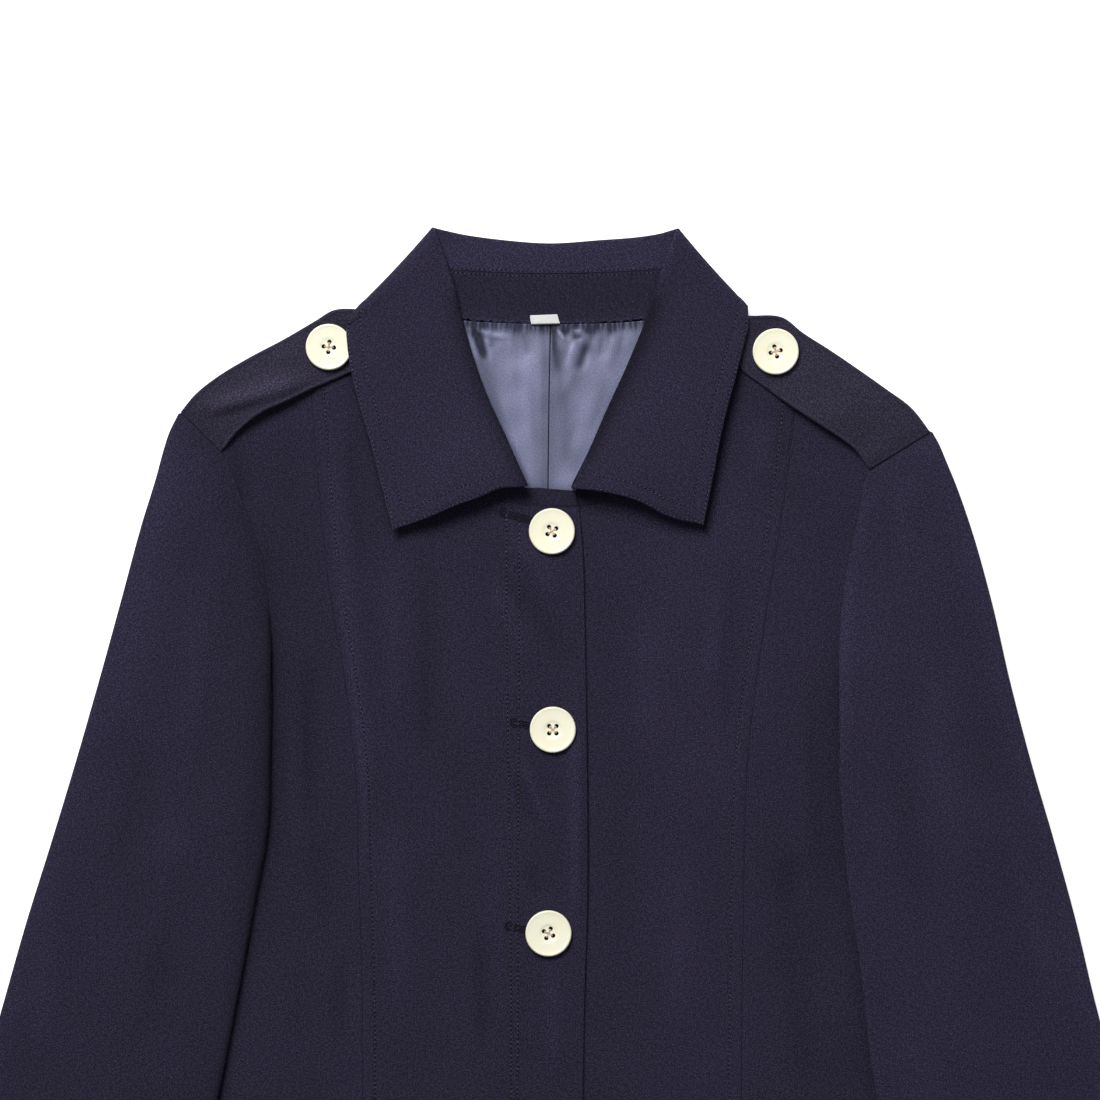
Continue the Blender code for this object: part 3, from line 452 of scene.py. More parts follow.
def between(knots, step, rim):
    """Smooth rows through knots of any width, about `step` apart, with extra ones near both ends."""
    line = smooth(knots, step)
    place = stations(line)
    wanted = np.unique(np.concatenate([place, rim, place[-1] - np.array(rim)]))
    return sampled(line, place, wanted)


def coons(top, bottom, left, right, across, down, down_right=None):
    """The flat patch between four curves. Left and right run down, top and bottom from left to right."""
    down_right = down if down_right is None else down_right
    t, b = along(top, across), along(bottom, across)
    p, q = along(left, down), along(right, down_right)
    u, v = across[None, :, None], (0.5 * (down + down_right))[:, None, None]
    sides = (1 - u) * p[:, None] + u * q[:, None]
    ends = (1 - v) * t[None] + v * b[None]
    flat = (1 - u) * (1 - v) * t[0] + u * (1 - v) * t[-1] + (1 - u) * v * b[0] + u * v * b[-1]
    return sides + ends - flat


def unit(run):
    """A direction of length 1."""
    return run / np.linalg.norm(run)


def aside(curve, amount):
    """A polyline moved sideways by `amount`, to the left of its own direction."""
    run = np.gradient(curve, axis=0)
    side = np.stack([-run[:, 1], run[:, 0]], axis=1)
    return curve + amount * side / np.linalg.norm(side, axis=1)[:, None]


def nearest(grid, curve):
    """For each point of a grid, in plan: its distance from a polyline, positive on the line's
    left, and the share of the line's length where it is nearest."""
    start, end = curve[:-1, :2], curve[1:, :2]
    run = end - start
    offset = grid[..., None, :2] - start
    share = np.clip((offset * run).sum(-1) / np.maximum((run * run).sum(-1), 1e-9), 0, 1)
    far = np.linalg.norm(offset - share[..., None] * run, axis=-1)
    k = far.argmin(-1)[..., None]
    cross = run[:, 0] * offset[..., 1] - run[:, 1] * offset[..., 0]
    side = np.where(np.take_along_axis(cross, k, -1)[..., 0] >= 0, 1, -1)
    place = stations(curve[:, :2])
    at = place[k[..., 0]] + np.take_along_axis(share, k, -1)[..., 0] * np.diff(place)[k[..., 0]]
    return side * np.take_along_axis(far, k, -1)[..., 0], at / place[-1]


def distance(grid, curve):
    """How far each point of a grid is from a polyline, in plan."""
    return np.abs(nearest(grid, curve)[0])


def inside(grid, outline):
    """True where a grid's point is inside a closed polyline, in plan."""
    x, y = grid[..., 0, None], grid[..., 1, None]
    x0, y0 = outline[:, 0], outline[:, 1]
    x1, y1 = np.roll(x0, -1), np.roll(y0, -1)
    rise = np.where(y1 == y0, 1e-9, y1 - y0)
    crossed = ((y0 > y) != (y1 > y)) & (x < x0 + (y - y0) * (x1 - x0) / rise)
    return crossed.sum(-1) % 2 == 1


def lengths(grid, axis):
    """Arc length along one axis of a grid, from its start."""
    step = np.linalg.norm(np.diff(grid, axis=axis), axis=-1)
    pad = [(0, 0), (0, 0)]
    pad[axis] = (1, 0)
    return np.cumsum(np.pad(step, pad), axis=axis)


def rim_distance(grid, left=1.0, right=1.0):
    """How far each point of a grid is from the grid's border, along its rows and columns.

    The distances from the left and right sides are weighed by these factors.
    """
    across, down = lengths(grid, 1), lengths(grid, 0)
    left, right = (np.reshape(factor, (-1, 1)) for factor in (left, right))
    sides = np.minimum(left * across, right * (across[:, -1:] - across))
    return np.minimum(sides, np.minimum(down, down[-1:] - down))


def raised(grid, z):
    """A plan grid with z as the height of its points."""
    return np.dstack([grid[..., :2], np.broadcast_to(z, grid.shape[:2])])


# Forms of the cloth's surface, as heights over a grid


def ease(share):
    """A smooth rise from 0 to 1."""
    share = np.clip(share, 0, 1)
    return share * share * (3 - 2 * share)


def curl(away, reach):
    """The quarter-round rise of a folded edge, from 0 at the edge to 1 at `reach`."""
    share = np.clip(away / reach, 0, 1)
    return np.sqrt(share * (2 - share))


def bell(away, width):
    """1 in the middle, and falls softly on both sides to almost 0 at twice the width."""
    return np.exp(-((away / width) ** 2))


def groove(away, width, depth):
    """A trough along a line, in height or in how light the cloth is."""
    return -depth * bell(away, width)


CREASE_LEAN = 0.3  # how much wider the left flank of a crease is than its width, and the right narrower
CREASE_FADE = 0.34  # share of its length over which it dies out at each end


def creased(grid, creases):
    """Rise of the creases over a grid's points, soft ridges and troughs that die out at their ends."""
    rise = np.zeros(grid.shape[:2])
    for width, height, *points in creases:
        line = smooth(points, 4.0)
        reach = 3 * width
        low, high = line.min(0) - reach, line.max(0) + reach
        near = ((grid[..., :2] > low) & (grid[..., :2] < high)).all(-1)
        if not near.any():
            continue
        away, share = nearest(grid[near][None], line)
        flank = width * np.where(away > 0, 1 + CREASE_LEAN, 1 - CREASE_LEAN)
        fade = ease(share / CREASE_FADE) * ease((1 - share) / CREASE_FADE)
        rise[near] += (height * bell(away, flank) * fade)[0]
    return rise


UNEVEN_WAVES = 7
PUCKER_SCALES = (1.0, 0.62, 1.7)  # periods of a pucker's waves, as shares of the one asked for


def unevenness(grid, seed, height, length):
    """A calm unevenness of the cloth: several long waves in different directions."""
    draw = np.random.default_rng(seed)
    rise = np.zeros(grid.shape[:2])
    for _ in range(UNEVEN_WAVES):
        angle, phase = draw.uniform(0, 2 * math.pi, 2)
        wave = length * draw.uniform(0.7, 1.5)
        step = grid[..., 0] * math.cos(angle) + grid[..., 1] * math.sin(angle)
        rise += np.sin(2 * math.pi * step / wave + phase)
    return height * rise / math.sqrt(UNEVEN_WAVES)


def puckers(place, seed, period, height):
    """Small waves along a seam, at each place along it in millimetres."""
    draw = np.random.default_rng(seed)
    waves = 0
    for scale in PUCKER_SCALES:
        waves = waves + np.sin(2 * math.pi * place / (period * scale) + draw.uniform(0, 6))
    return height * waves / len(PUCKER_SCALES)


# Meshes


def joined(name, vertices, faces, look, uv, tone=None):
    """One mesh object from arrays of corners in millimetres and of quads, on the jacket's body.

    `look` is its material and slot, and `tone` the painted light and shade of the cloth at each corner.
    """
    finish, slot = look
    mesh = bpy.data.meshes.new(name)
    mesh.vertices.add(len(vertices))
    mesh.vertices.foreach_set("co", (np.asarray(vertices) * MM).ravel())
    mesh.loops.add(faces.size)
    mesh.loops.foreach_set("vertex_index", faces.ravel())
    mesh.polygons.add(len(faces))
    mesh.polygons.foreach_set("loop_start", np.arange(len(faces)) * faces.shape[1])
    layer = mesh.uv_layers.new(name="UVMap")
    layer.data.foreach_set("uv", (uv[faces.ravel()] * MM).ravel())
    if tone is not None:
        # the cloth's painted light and shade, kept on its points
        painted_shading = mesh.attributes.new(name="painted_shading", type="FLOAT", domain="POINT")
        painted_shading.data.foreach_set("value", tone)
    mesh.materials.append(finish)
    mesh.update(calc_edges=True)
    mesh.validate()
    mesh.shade_smooth()
    made = bpy.data.objects.new(name, mesh)
    bpy.context.scene.collection.objects.link(made)
    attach(made, ROOT)
    return made


PRESSED = 3.0  # how much tighter a pressed edge's rim is than a free one
SEWN = 6.0  # the same for an edge that is sewn to the next panel


def cloth(name, middle, thickness, turn, look, relief=0.0, uv=None, grain=0.0, lining=0.0,
          left=1.0, right=1.0, tone=1.0):
    """A closed wall round a middle surface, with a round rim.

    `relief` raises its outer side and `lining` its inner one, `grain` turns its weave, and `left`
    and `right` say how much tighter its rim is on these sides.
    """
    rows, columns = middle.shape[:2]
    normal = turn * np.cross(np.gradient(middle, axis=0), np.gradient(middle, axis=1))
    normal /= np.linalg.norm(normal, axis=-1)[..., None] + 1e-9
    full = curl(rim_distance(middle, left, right), thickness / 2)
    half = thickness / 2 * full
    outer = middle + normal * (half + relief * full)[..., None]
    inner = middle - normal * (half + lining * full)[..., None]
    index = np.arange(rows * columns).reshape(rows, columns)
    under = index.copy()
    under[1:-1, 1:-1] = rows * columns + np.arange((rows - 2) * (columns - 2)).reshape(rows - 2, -1)

    def quads(i):
        return np.stack([i[:-1, :-1], i[1:, :-1], i[1:, 1:], i[:-1, 1:]], axis=-1).reshape(-1, 4)

    def corners(over, below):
        """The values of all corners: the outer side's, then those of the inner side within the rim."""
        size = over.shape[2:]
        return np.concatenate([over.reshape(-1, *size), below[1:-1, 1:-1].reshape(-1, *size)])

    top, bottom = quads(index), quads(under)
    faces = np.vstack([top, bottom[:, ::-1]] if turn > 0 else [top[:, ::-1], bottom])
    angle = math.radians(grain)
    spin = np.array([[math.cos(angle), -math.sin(angle)], [math.sin(angle), math.cos(angle)]])
    uv = middle[..., :2] if uv is None else uv
    uv = (uv.reshape(-1, 2) @ spin.T).reshape(rows, columns, 2)
    tone = np.broadcast_to(tone, (rows, columns))
    made = joined(name, corners(outer, inner), faces, look, corners(uv, uv), corners(tone, tone))
    made["cut"] = cut_size(middle)
    return made


def cut_size(middle):
    """Width, length and area of the cloth of a middle surface, in metres and square metres."""
    width, length = lengths(middle, 1)[:, -1].max(), lengths(middle, 0)[-1].max()
    a, b = middle[1:, 1:] - middle[:-1, :-1], middle[1:, :-1] - middle[:-1, 1:]
    area = np.linalg.norm(np.cross(a, b), axis=-1).sum() / 2
    return [width * MM, length * MM, area * MM * MM]


# Threads and rows of stitches

# Place along a stitch, thickness and depth; past 0.3 it is the pit that the needle left, painted dark as
# shade
THREAD_RINGS = ((-0.5, 0.0, 0.5), (-0.47, 1.6, 0.4), (-0.3, 1.6, 0.4), (-0.26, 0.7, 0.25),
                (0.0, 1.0, 0.0),
                (0.26, 0.7, 0.25), (0.3, 1.6, 0.4), (0.47, 1.6, 0.4), (0.5, 0.0, 0.5))
THREAD_SIDES = 5
THREAD_RADIUS = 0.24
# In radii of the thread: its height, how much depth lowers it, and its least thickness
THREAD_PROUD, THREAD_SINK, THREAD_LEAST = 0.45, 1.6, 0.05
STITCH_PITCH, STITCH_LENGTH = 2.4, 2.15
STITCH_SHIFT = 0.06  # the most that a stitch is out of its place, as a share of the pitch
DROP_FROM = 60.0  # above all of the jacket


def ground(piece):
    """A piece's surface as a tree, for what is laid on it."""
    vertices = [vertex.co / MM for vertex in piece.data.vertices]
    return BVHTree.FromPolygons(vertices, [list(face.vertices) for face in piece.data.polygons])


def dropped(tree, plan):
    """Plan points let down on a surface: their places and the surface's normals there."""
    places, normals = [], []
    for x, y in plan:
        place, normal, _, _ = tree.ray_cast(Vector((x, y, DROP_FROM)), Vector((0, 0, -1)))
        places.append((x, y, 0.0) if place is None else tuple(place))
        normals.append((0, 0, 1) if normal is None else tuple(normal if normal.z > 0 else -normal))
    return np.array(places), np.array(normals)


def threads(name, starts, ends, normals, radius, look):
    """Short threads between points, as one mesh. Each is round, and its ends sink into the cloth."""
    run = ends - starts
    length = np.linalg.norm(run, axis=1)[:, None]
    run = run / length
    side = np.cross(normals, run)
    side /= np.linalg.norm(side, axis=1)[:, None]
    up = np.cross(run, side)
    rings, uv = [], []
    for share, thick, sink in THREAD_RINGS:
        middle = (starts + ends) / 2 + run * length * share
        middle = middle + up * radius * (THREAD_PROUD - THREAD_SINK * sink)
        for k in range(THREAD_SIDES):
            angle = 2 * math.pi * (k + 0.5) / THREAD_SIDES
            offset = side * math.cos(angle) + up * math.sin(angle)
            rings.append(middle + offset * radius * max(thick, THREAD_LEAST))
            uv.append(((share + 0.5) / MM, k / THREAD_SIDES / MM))
    vertices = np.stack(rings, axis=1).reshape(-1, 3)
    one = np.arange(len(THREAD_RINGS) * THREAD_SIDES).reshape(-1, THREAD_SIDES)
    ahead = np.roll(one, -1, axis=1)
    quads = np.stack([one[:-1], ahead[:-1], ahead[1:], one[1:]], axis=-1).reshape(-1, 4)
    faces = (np.arange(len(starts))[:, None, None] * one.size + quads[None]).reshape(-1, 4)
    return joined(name, vertices, faces, look, np.tile(uv, (len(starts), 1)))


def stitch_ends(line, pitch, length, seed):
    """Starts and ends, in plan, of the stitches along a line."""
    total = steps(line).sum()
    count = int(total / pitch)
    shift = np.random.default_rng(seed).uniform(-STITCH_SHIFT, STITCH_SHIFT, count)
    middle = (np.arange(count) + 0.5 + shift) * pitch / total
    half = length / total / 2
    return along(line, middle - half), along(line, middle + half)


def stitched(name, piece, lines, pitch=STITCH_PITCH, length=STITCH_LENGTH):
    """Rows of stitches laid on a piece."""
    tree = ground(piece)
    rows = []
    for seed, line in enumerate(lines):
        near, far = stitch_ends(line[:, :2], pitch, length, seed)
        start, normal = dropped(tree, near)
        rows.append((start, dropped(tree, far)[0], normal))
    return threads(name, *(np.vstack(part) for part in zip(*rows)), THREAD_RADIUS, NAVY_THREAD)


# The body

RIM = (0.12, 0.35, 0.6, 1.0)  # distances of the rows that round a rim
SEAM_ROWS = RIM + (2.0, 4.0, 5.6, 6.1, 6.5, 6.9, 7.5, 9.0)
LONG = 640  # about the length of a front and of a sleeve
SEAM_ROUNDING = 9  # over which a front comes down to the back at its seams
SEAM_SINK = 0.05  # how far a pressed seam lies below the cloth beside it
SEAM_GAP = 0.03
TOPSTITCH = 6.5  # from the princess seam
STRIP_RISE = 0.28  # of the cloth between the princess seam and its topstitch
PLACKET_LENGTH = 535
PLACKET_RISE = 0.12
PLACKET_OUTER = ((-24.1, 194.0), (-23.9, 120.0), (-22.4, 20.0), (-21.7, -50.0), (-22.0, -200.0),
                 (-22.0, HEM_Y + 1))
PLACKET_INNER = ((-17.2, 194.0), (-17.4, 120.0), (-17.8, 20.0), (-18.0, -50.0), (-18.2, -200.0),
                 (-18.2, HEM_Y + 1))
HEM_STITCH_Y = HEM_Y + 22.0
HEM_RISE = 0.15
# Grooves that stitches draw in: width, depth
TOPSTITCH_GROOVE = (0.55, 0.2)
PLACKET_GROOVE = (0.6, 0.17)
HEM_GROOVE = (0.7, 0.18)
# Shade on a front beside the edge of a sleeve or of the collar, soft and close to it: width, depth
SLEEVE_SHADE, SLEEVE_LINE = (7, 0.14), (2.6, 0.35)
COLLAR_SHADE, COLLAR_LINE = (7, 0.1), (1.8, 0.26)

FOLD_HEIGHT = 1.7  # of a crease whose height is 1 in its table
CREASE_SHADING = 0.16  # how much lighter a crease's ridge is painted, and its trough darker: painted light and shade
CREASE_SHADING_RANGE = (0.6, 1.4)
BUTTON_CALM = 9  # radius of the flat cloth under a button, and the width over which it ends
# x where the upper front starts to rise, over what width, and x to which it covers the under one
LAP_START_X, LAP_SLOPE, LAP_COVER_X = -66, 28, 20


def fall_lift(grid, start=17, slope=12):
    """How much the collar's back fall lifts what lies over it, from `start` before its edge."""
    x, y = grid[..., 0], grid[..., 1]
    edge = FALL_EDGE_Y + FALL_EDGE_RISE * (x / FALL_HALF_WIDTH) ** 2
    return FALL_LIFT * ease((y - edge + start) / slope)


def front_height(grid, seams):
    """Middle of a front panel, which comes down to the back at the shoulder and side seams."""
    closed = path(seams["shoulder"], seams["shoulder_top"])
    edge = np.minimum(distance(grid, closed), distance(grid, smooth(seams["side"])))
    return FRONT_Z + fall_lift(grid) - (FRONT_Z - SEAM_Z) * (1 - curl(edge, SEAM_ROUNDING))


def lap(grid):
    """The rise of the upper front over the under one."""
    return LAP_RISE * ease((grid[..., 0] - LAP_START_X) / LAP_SLOPE)


def crease_shading(folds):
    """Painted light and shade: the cloth is painted lighter along the creases' ridges and darker in their
    troughs.
    """
    return np.clip(1 + CREASE_SHADING * folds, *CREASE_SHADING_RANGE)


def calm(grid):
    """1 away from the buttons and 0 under them, where the cloth stays flat."""
    share = np.ones(grid.shape[:2])
    for place in BUTTON_PLACES.values():
        away = np.linalg.norm(grid[..., :2] - place[:2], axis=-1)
        share = np.minimum(share, ease((away - BUTTON_CALM) / BUTTON_CALM))
    return share


def front_folds(grid, side):
    """What the cloth of a front adds to the height of its solid, and the painted light and shade on it.
    """
    folds = creased(grid, FRONT_CREASES)
    rise = FOLD_HEIGHT * folds + unevenness(grid, 5, 0.22, 75) + unevenness(grid, 6, 0.05, 17)
    free = 1.0 if side == "right" else ease((grid[..., 0] - LAP_COVER_X) / 10)
    return rise * calm(grid) * free, crease_shading(folds) + creased(grid, BROAD_PAINTED_SHADES)


def seam_relief(grid, side, panel):
    """Fine relief of a front beside the princess seam: the sunk edge, and the strip to the topstitch."""
    away, share = nearest(grid, smooth(SEAMS[side]["princess"]))
    away = np.abs(away)
    down = share * LONG
    rise = -SEAM_SINK * (1 - curl(away, 1.1))
    if panel == "center":
        strip = ease(away / 1.5) * ease((TOPSTITCH + 0.2 - away) / 0.8)
        rise = rise + STRIP_RISE * strip * (1 + puckers(down, 3, 7.0, 0.5))
        rise = rise + groove(away - TOPSTITCH, *TOPSTITCH_GROOVE)
        beyond = bell(away - TOPSTITCH - 1.6, 1.8)
    else:
        beyond = bell(away, 3.5)
    return rise + beyond * puckers(down, 4 + TURN[side], 6.5, 0.1)


def placket_relief(grid):
    """The right front's facing: two rows of topstitching with a slightly raised strip between."""
    outer, share = nearest(grid, smooth(PLACKET_OUTER))
    inner, _ = nearest(grid, smooth(PLACKET_INNER))
    away = np.minimum(np.abs(outer), np.abs(inner))
    strip = ease(away / 1.2) * (outer * inner < 0)
    rise = groove(outer, *PLACKET_GROOVE) + groove(inner, *PLACKET_GROOVE) + PLACKET_RISE * strip
    return rise + bell(away, 2.5) * puckers(share * PLACKET_LENGTH, 11, 6.0, 0.09)


def hem_relief(grid):
    """The groove of the hem's stitches and the doubled cloth below them."""
    y = grid[..., 1]
    return groove(y - HEM_STITCH_Y, *HEM_GROOVE) + HEM_RISE * ease(HEM_STITCH_Y - y)


def make_front_side(side):
    """A front's side panel, from the shoulder and armhole to the hem."""
    seams, turn = SEAMS[side], TURN[side]
    princess = smooth(seams["princess"])
    outer = [seams["armhole"], seams["underarm"], seams["side"]]
    grid = coons(
        smooth(seams["shoulder"]),
        np.array([seams["side"][-1], seams["princess"][-1]]),
        path(*outer),
        aside(princess, -turn * SEAM_GAP / 2),
        evenly(34, 115, RIM, SEAM_ROWS),
        divided(outer, (70, 46, 144), RIM, RIM),
        evenly(260, LONG, RIM, RIM),
    )
    folds, tone = front_folds(grid, side)
    height = front_height(grid, seams) + folds
    relief = seam_relief(grid, side, "side") + hem_relief(grid)
    sleeve = distance(grid, smooth(seams["armhole"] + seams["sleeve_fold"][1:6]))
    low = ease((150 - grid[..., 1]) / 30)
    shade = groove(sleeve, *SLEEVE_SHADE) * (1 if side == "right" else low)
    if side == "right":
        shade = shade + groove(sleeve, *SLEEVE_LINE) * low
    at_armhole = grid[:, 0, 1] > seams["armhole"][-1][1]
    made = cloth(f"front_{side}_side_panel", raised(grid, height), CLOTH, turn, TWILL, relief,
                 left=np.where(at_armhole, SEWN, 1.0), right=SEWN, tone=tone + shade)
    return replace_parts(made, f"front_{side}_side")


def make_front_center(side):
    """A front's centre panel, with the buttons' side of the lap or the buttonholes'."""
    seams, turn = SEAMS[side], TURN[side]
    inner = [seams["neck"], seams["neck_end"], seams["edge"]]
    grid = coons(
        smooth(seams["shoulder_top"]),
        np.array([seams["princess"][-1], seams["edge"][-1]]),
        aside(smooth(seams["princess"]), turn * SEAM_GAP / 2),
        path(*inner),
        evenly(58, 120, SEAM_ROWS, RIM),
        evenly(280, LONG, RIM, RIM),
        divided(inner, (48, 18, 214), RIM, RIM),
    )
    folds, tone = front_folds(grid, side)
    height = front_height(grid, seams) + folds
    relief = seam_relief(grid, side, "center") + hem_relief(grid)
    if side == "right":
        height = height + lap(grid)
        relief = relief + placket_relief(grid)
    leaf = distance(grid, smooth([row[5:7] for row in COLLAR_ROWS[side]]))
    tone = tone + groove(leaf, *COLLAR_LINE) + groove(leaf, *COLLAR_SHADE)
    at_neck = grid[:, -1, 1] > seams["edge"][0][1] - 0.5
    made = cloth(f"front_{side}_center_panel", raised(grid, height), CLOTH, turn, TWILL, relief,
                 left=SEWN, right=np.where(at_neck, SEWN, 1.0), tone=tone)
    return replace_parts(made, f"front_{side}_center")


def neck_half(side):
    """The neck seam at the back, from one shoulder to its middle."""
    return NECK_SEAM[:3] if side == "right" else NECK_SEAM[:1:-1]


def make_back(side):
    seams, turn = SEAMS[side], TURN[side]
    middle = np.array([(-turn * GAP / 2, NECK_SEAM[2][1]), (-turn * GAP / 2, HEM_Y)])
    top = [seams["shoulder"], seams["shoulder_top"], (*neck_half(side)[:-1], middle[0])]
    outer = [seams["back_armhole"], seams["side"]]
    grid = coons(
        path(*top),
        np.array([seams["side"][-1], middle[-1]]),
        path(*outer),
        middle,
        divided(top, (16, 14, 22), RIM, RIM),
        divided(outer, (56, 84), RIM, RIM),
    )
    rise = np.maximum(creased(grid, BACK_CREASES), 0) + np.maximum(unevenness(grid, 8, 0.12, 80), 0)
    free = ease(rim_distance(grid) / 14) * ease((250 - grid[..., 1]) / 20)
    height = BACK_Z + fall_lift(grid) + rise * free
    made = cloth(f"back_{side}_panel", raised(grid, height), CLOTH, turn, TWILL)
    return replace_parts(made, f"back_{side}")


# The sleeves

# Height on the floor and on the body, where it starts to rise before the body, and over what width
UNDER_SLEEVE = (BACK_Z, UNDER_SLEEVE_Z, 45, 42)
TOP_SLEEVE = (SLEEVE_OVER_FLOOR_Z, SLEEVE_OVER_BODY_Z, 50, 60)
SLEEVE_RIM = RIM + (1.6, 2.6, 5.0)
SLEEVE_DOME = 2.3  # how much fuller a sleeve is in the middle of its width
SLEEVE_ROUNDING = 24.0
FOLD_ROUNDING = 2.6  # the tighter rounding at its folded edges
SLEEVE_SEAM_RISE = 0.2
ARMHOLE_LENGTH = 150
ARMHOLE_SINK = 0.08
FOLDED_RIM = 1.6  # how much tighter a sleeve's folded edge is than a free one
# Light along a sleeve's outer edge, and shade along its inner edge, soft and close to it
SLEEVE_EDGE_LIGHT = (10, -0.2)
SLEEVE_INNER_SHADE, SLEEVE_INNER_LINE = (14, 0.24), (2, 0.4)


def sleeve_height(grid, seams, low, high, start, width):
    """Middle of a sleeve's layer, which rises from the floor to lie on the body."""
    rim = path(seams["underarm"], seams["side"])
    corner = (seams["princess"][-1][0], seams["underarm"][0][1])
    outline = np.vstack([rim, [seams["princess"][-1]], [corner]])
    over_body = np.where(inside(grid, outline), 1, -1) * distance(grid, rim)
    return low + (high - low) * ease((over_body + start) / width)


def make_under_sleeve(side):
    seams, turn = SEAMS[side], TURN[side]
    outer, fold = smooth(seams["sleeve_outer"]), smooth(seams["sleeve_fold"])
    armhole = [seams["back_armhole"], seams["underarm"][::-1]]
    start = aside(path(*armhole), -turn * 2 * GAP)
    start[-1] = fold[0]
    armhole_rows = RIM + (2.0, 4.0, 8.0)
    grid = coons(
        start,
        np.vstack([outer[-1:], fold[-1:]]),
        np.vstack([start[:1], outer[1:]]),
        fold,
        divided(armhole, (26, 18), armhole_rows, armhole_rows),
        evenly(110, LONG, RIM, RIM),
    )
    height = sleeve_height(grid, seams, *UNDER_SLEEVE)
    middle = (height + sleeve_height(grid, seams, *TOP_SLEEVE)) / 2 - 1.5 * GAP
    edge = np.minimum(distance(grid, outer), distance(grid, fold))
    height = height + (middle - height) * (1 - curl(edge, FOLD_ROUNDING))
    made = cloth(f"sleeve_{side}_under", raised(grid, height), CLOTH, turn, TWILL, grain=-18 * turn)
    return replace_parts(made, f"under_sleeve_{side}")


def rounded(away, tight, wide):
    """The rise from a sleeve's folded edge: one share of it at once, the other more slowly."""
    return tight * curl(away, FOLD_ROUNDING) + wide * curl(away, SLEEVE_ROUNDING)


def make_top_sleeve(side):
    """It meets the front along the armhole, and lies on the under sleeve past it."""
    seams, turn = SEAMS[side], TURN[side]
    outer, fold = smooth(seams["sleeve_outer"]), smooth(seams["sleeve_fold"])
    inner = [seams["armhole"], seams["sleeve_fold"]]
    seam = aside(smooth(seams["armhole"]), -turn * SEAM_GAP)
    right = np.vstack([seam[:-1], fold])
    grid = coons(
        np.vstack([outer[:1], right[:1]]),
        np.vstack([outer[-1:], fold[-1:]]),
        outer,
        right,
        evenly(48, 110, SLEEVE_RIM, SLEEVE_RIM),
        divided(inner, (70, 170), RIM, RIM),
    )
    height = sleeve_height(grid, seams, *TOP_SLEEVE)
    middle = (height + sleeve_height(grid, seams, *UNDER_SLEEVE)) / 2 + 1.5 * GAP
    folded = ease((fold[0, 1] + 55 - grid[..., 1]) / 55)
    seam_z = FRONT_Z + SLEEVE_SEAM_RISE + (middle - FRONT_Z - SLEEVE_SEAM_RISE) * folded
    from_inner, from_outer = distance(grid, right), distance(grid, outer)
    height = height + SLEEVE_DOME * ease(from_outer / 55) * ease(from_inner / 60)
    sewn_rise = 1 - (1 - np.clip(from_inner / 30, 0, 1)) ** 2
    inner_rise = folded * rounded(from_inner, 0.55, 0.45) + (1 - folded) * sewn_rise
    inner_z = seam_z + (height - seam_z) * inner_rise
    outer_z = middle + (height - middle) * rounded(from_outer, 0.5, 0.5)
    creases = creased(grid, SLEEVE_CREASES[side])
    folds = FOLD_HEIGHT * creases + unevenness(grid, 15 + turn, 0.2, 80)
    folds = folds + unevenness(grid, 19 + turn, 0.05, 16)
    head = nearest(grid, smooth(seams["armhole"]))[1] * ARMHOLE_LENGTH
    gathers = puckers(head, 7 + turn, 6.0, 0.22) * bell(from_inner, 6) * (1 - folded)
    height = np.minimum(inner_z, outer_z) + folds * ease(np.minimum(from_inner, from_outer) / 10)
    height = height + gathers * ease(from_inner / 2)
    relief = -ARMHOLE_SINK * (1 - folded) * (1 - curl(from_inner, 1.2)) + hem_relief(grid)
    # Painted light and shade: lighter on the creases' ridges and darker in their troughs, the broad
    # painted shades, and painted light along the outer edge; the right sleeve has painted light on its
    # head and a painted shadow along its inner edge, and the left sleeve is lighter all over, more
    # towards the cuff
    tone = crease_shading(creases) + creased(grid, BROAD_PAINTED_SHADES) + groove(from_outer, *SLEEVE_EDGE_LIGHT)
    y = grid[..., 1]
    if side == "right":
        tone = tone + groove(from_inner, *SLEEVE_INNER_SHADE) + 0.12 * ease((y - 190) / 40)
        tone = tone + groove(from_inner, *SLEEVE_INNER_LINE) * ease((150 - y) / 20)
    else:
        tone = tone + 0.12 + 0.06 * ease((40 - y) / 90)
    at_armhole = grid[:, -1, 1] > fold[0, 1]
    made = cloth(f"sleeve_{side}_top", raised(grid, height), CLOTH, turn, TWILL, relief,
                 grain=-14 * turn, right=np.where(at_armhole, SEWN, FOLDED_RIM), tone=tone)
    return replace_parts(made, f"top_sleeve_{side}")


# The collar

ROLL_ANGLES = (-80, -65, -50, -35, -20, -6, 6, 20, 35, 50, 65, 80)
STRIP_SHARES = (0.0, 0.012, 0.04, 0.08, 0.2, 0.5, 1.0)
ROLL_INDEX = len(STRIP_SHARES) + len(ROLL_ANGLES) // 2  # the roll's outermost point in a section
# Distances from a leaf's edge of the points that round its rim and its rows of stitches
LEAF_EDGE = (0.12, 0.35, 0.6, 0.85, 1.15, 1.45, 1.9, 3.0, 5.0, 7.0, 7.6, 8.0, 8.4, 9.0, 11.0)
FALL_RIM = (0.12, 0.35, 0.6, 1.15, 1.6, 2.6, 4.0)
CORNER_ANGLES = (90, 65, 45, 28, 14, 0, -14, -28, -45, -65, -90)
CORNER_SKEW = 0.38  # least share of a line's run past the corner that crosses the fold
CORNER_REACH = 0.6  # most share of that run which the rounding takes
CORNER_BOW = -1.1  # how much the folded shoulder edge of the collar is hollowed
LEAF_RAISE = 3.0  # how far the leaves' free edges stand off the fronts, over their solid
LEAF_SHARE = 0.72  # of a section's length, from the fall's edge, that its leaf takes
FRONT_END_RISE = 9.0  # how far the leaves' front ends stand up between their tips and the roll
FRONT_END_DRAWN = 1.9  # how far the right one is drawn up beside the roll
TIP_FULLNESS = (1.3, 3.4)  # how far the front ends bow out near their tips: right, left
COLLAR_EDGE_STITCH = 1.15
COLLAR_INNER_STITCH = 8.0
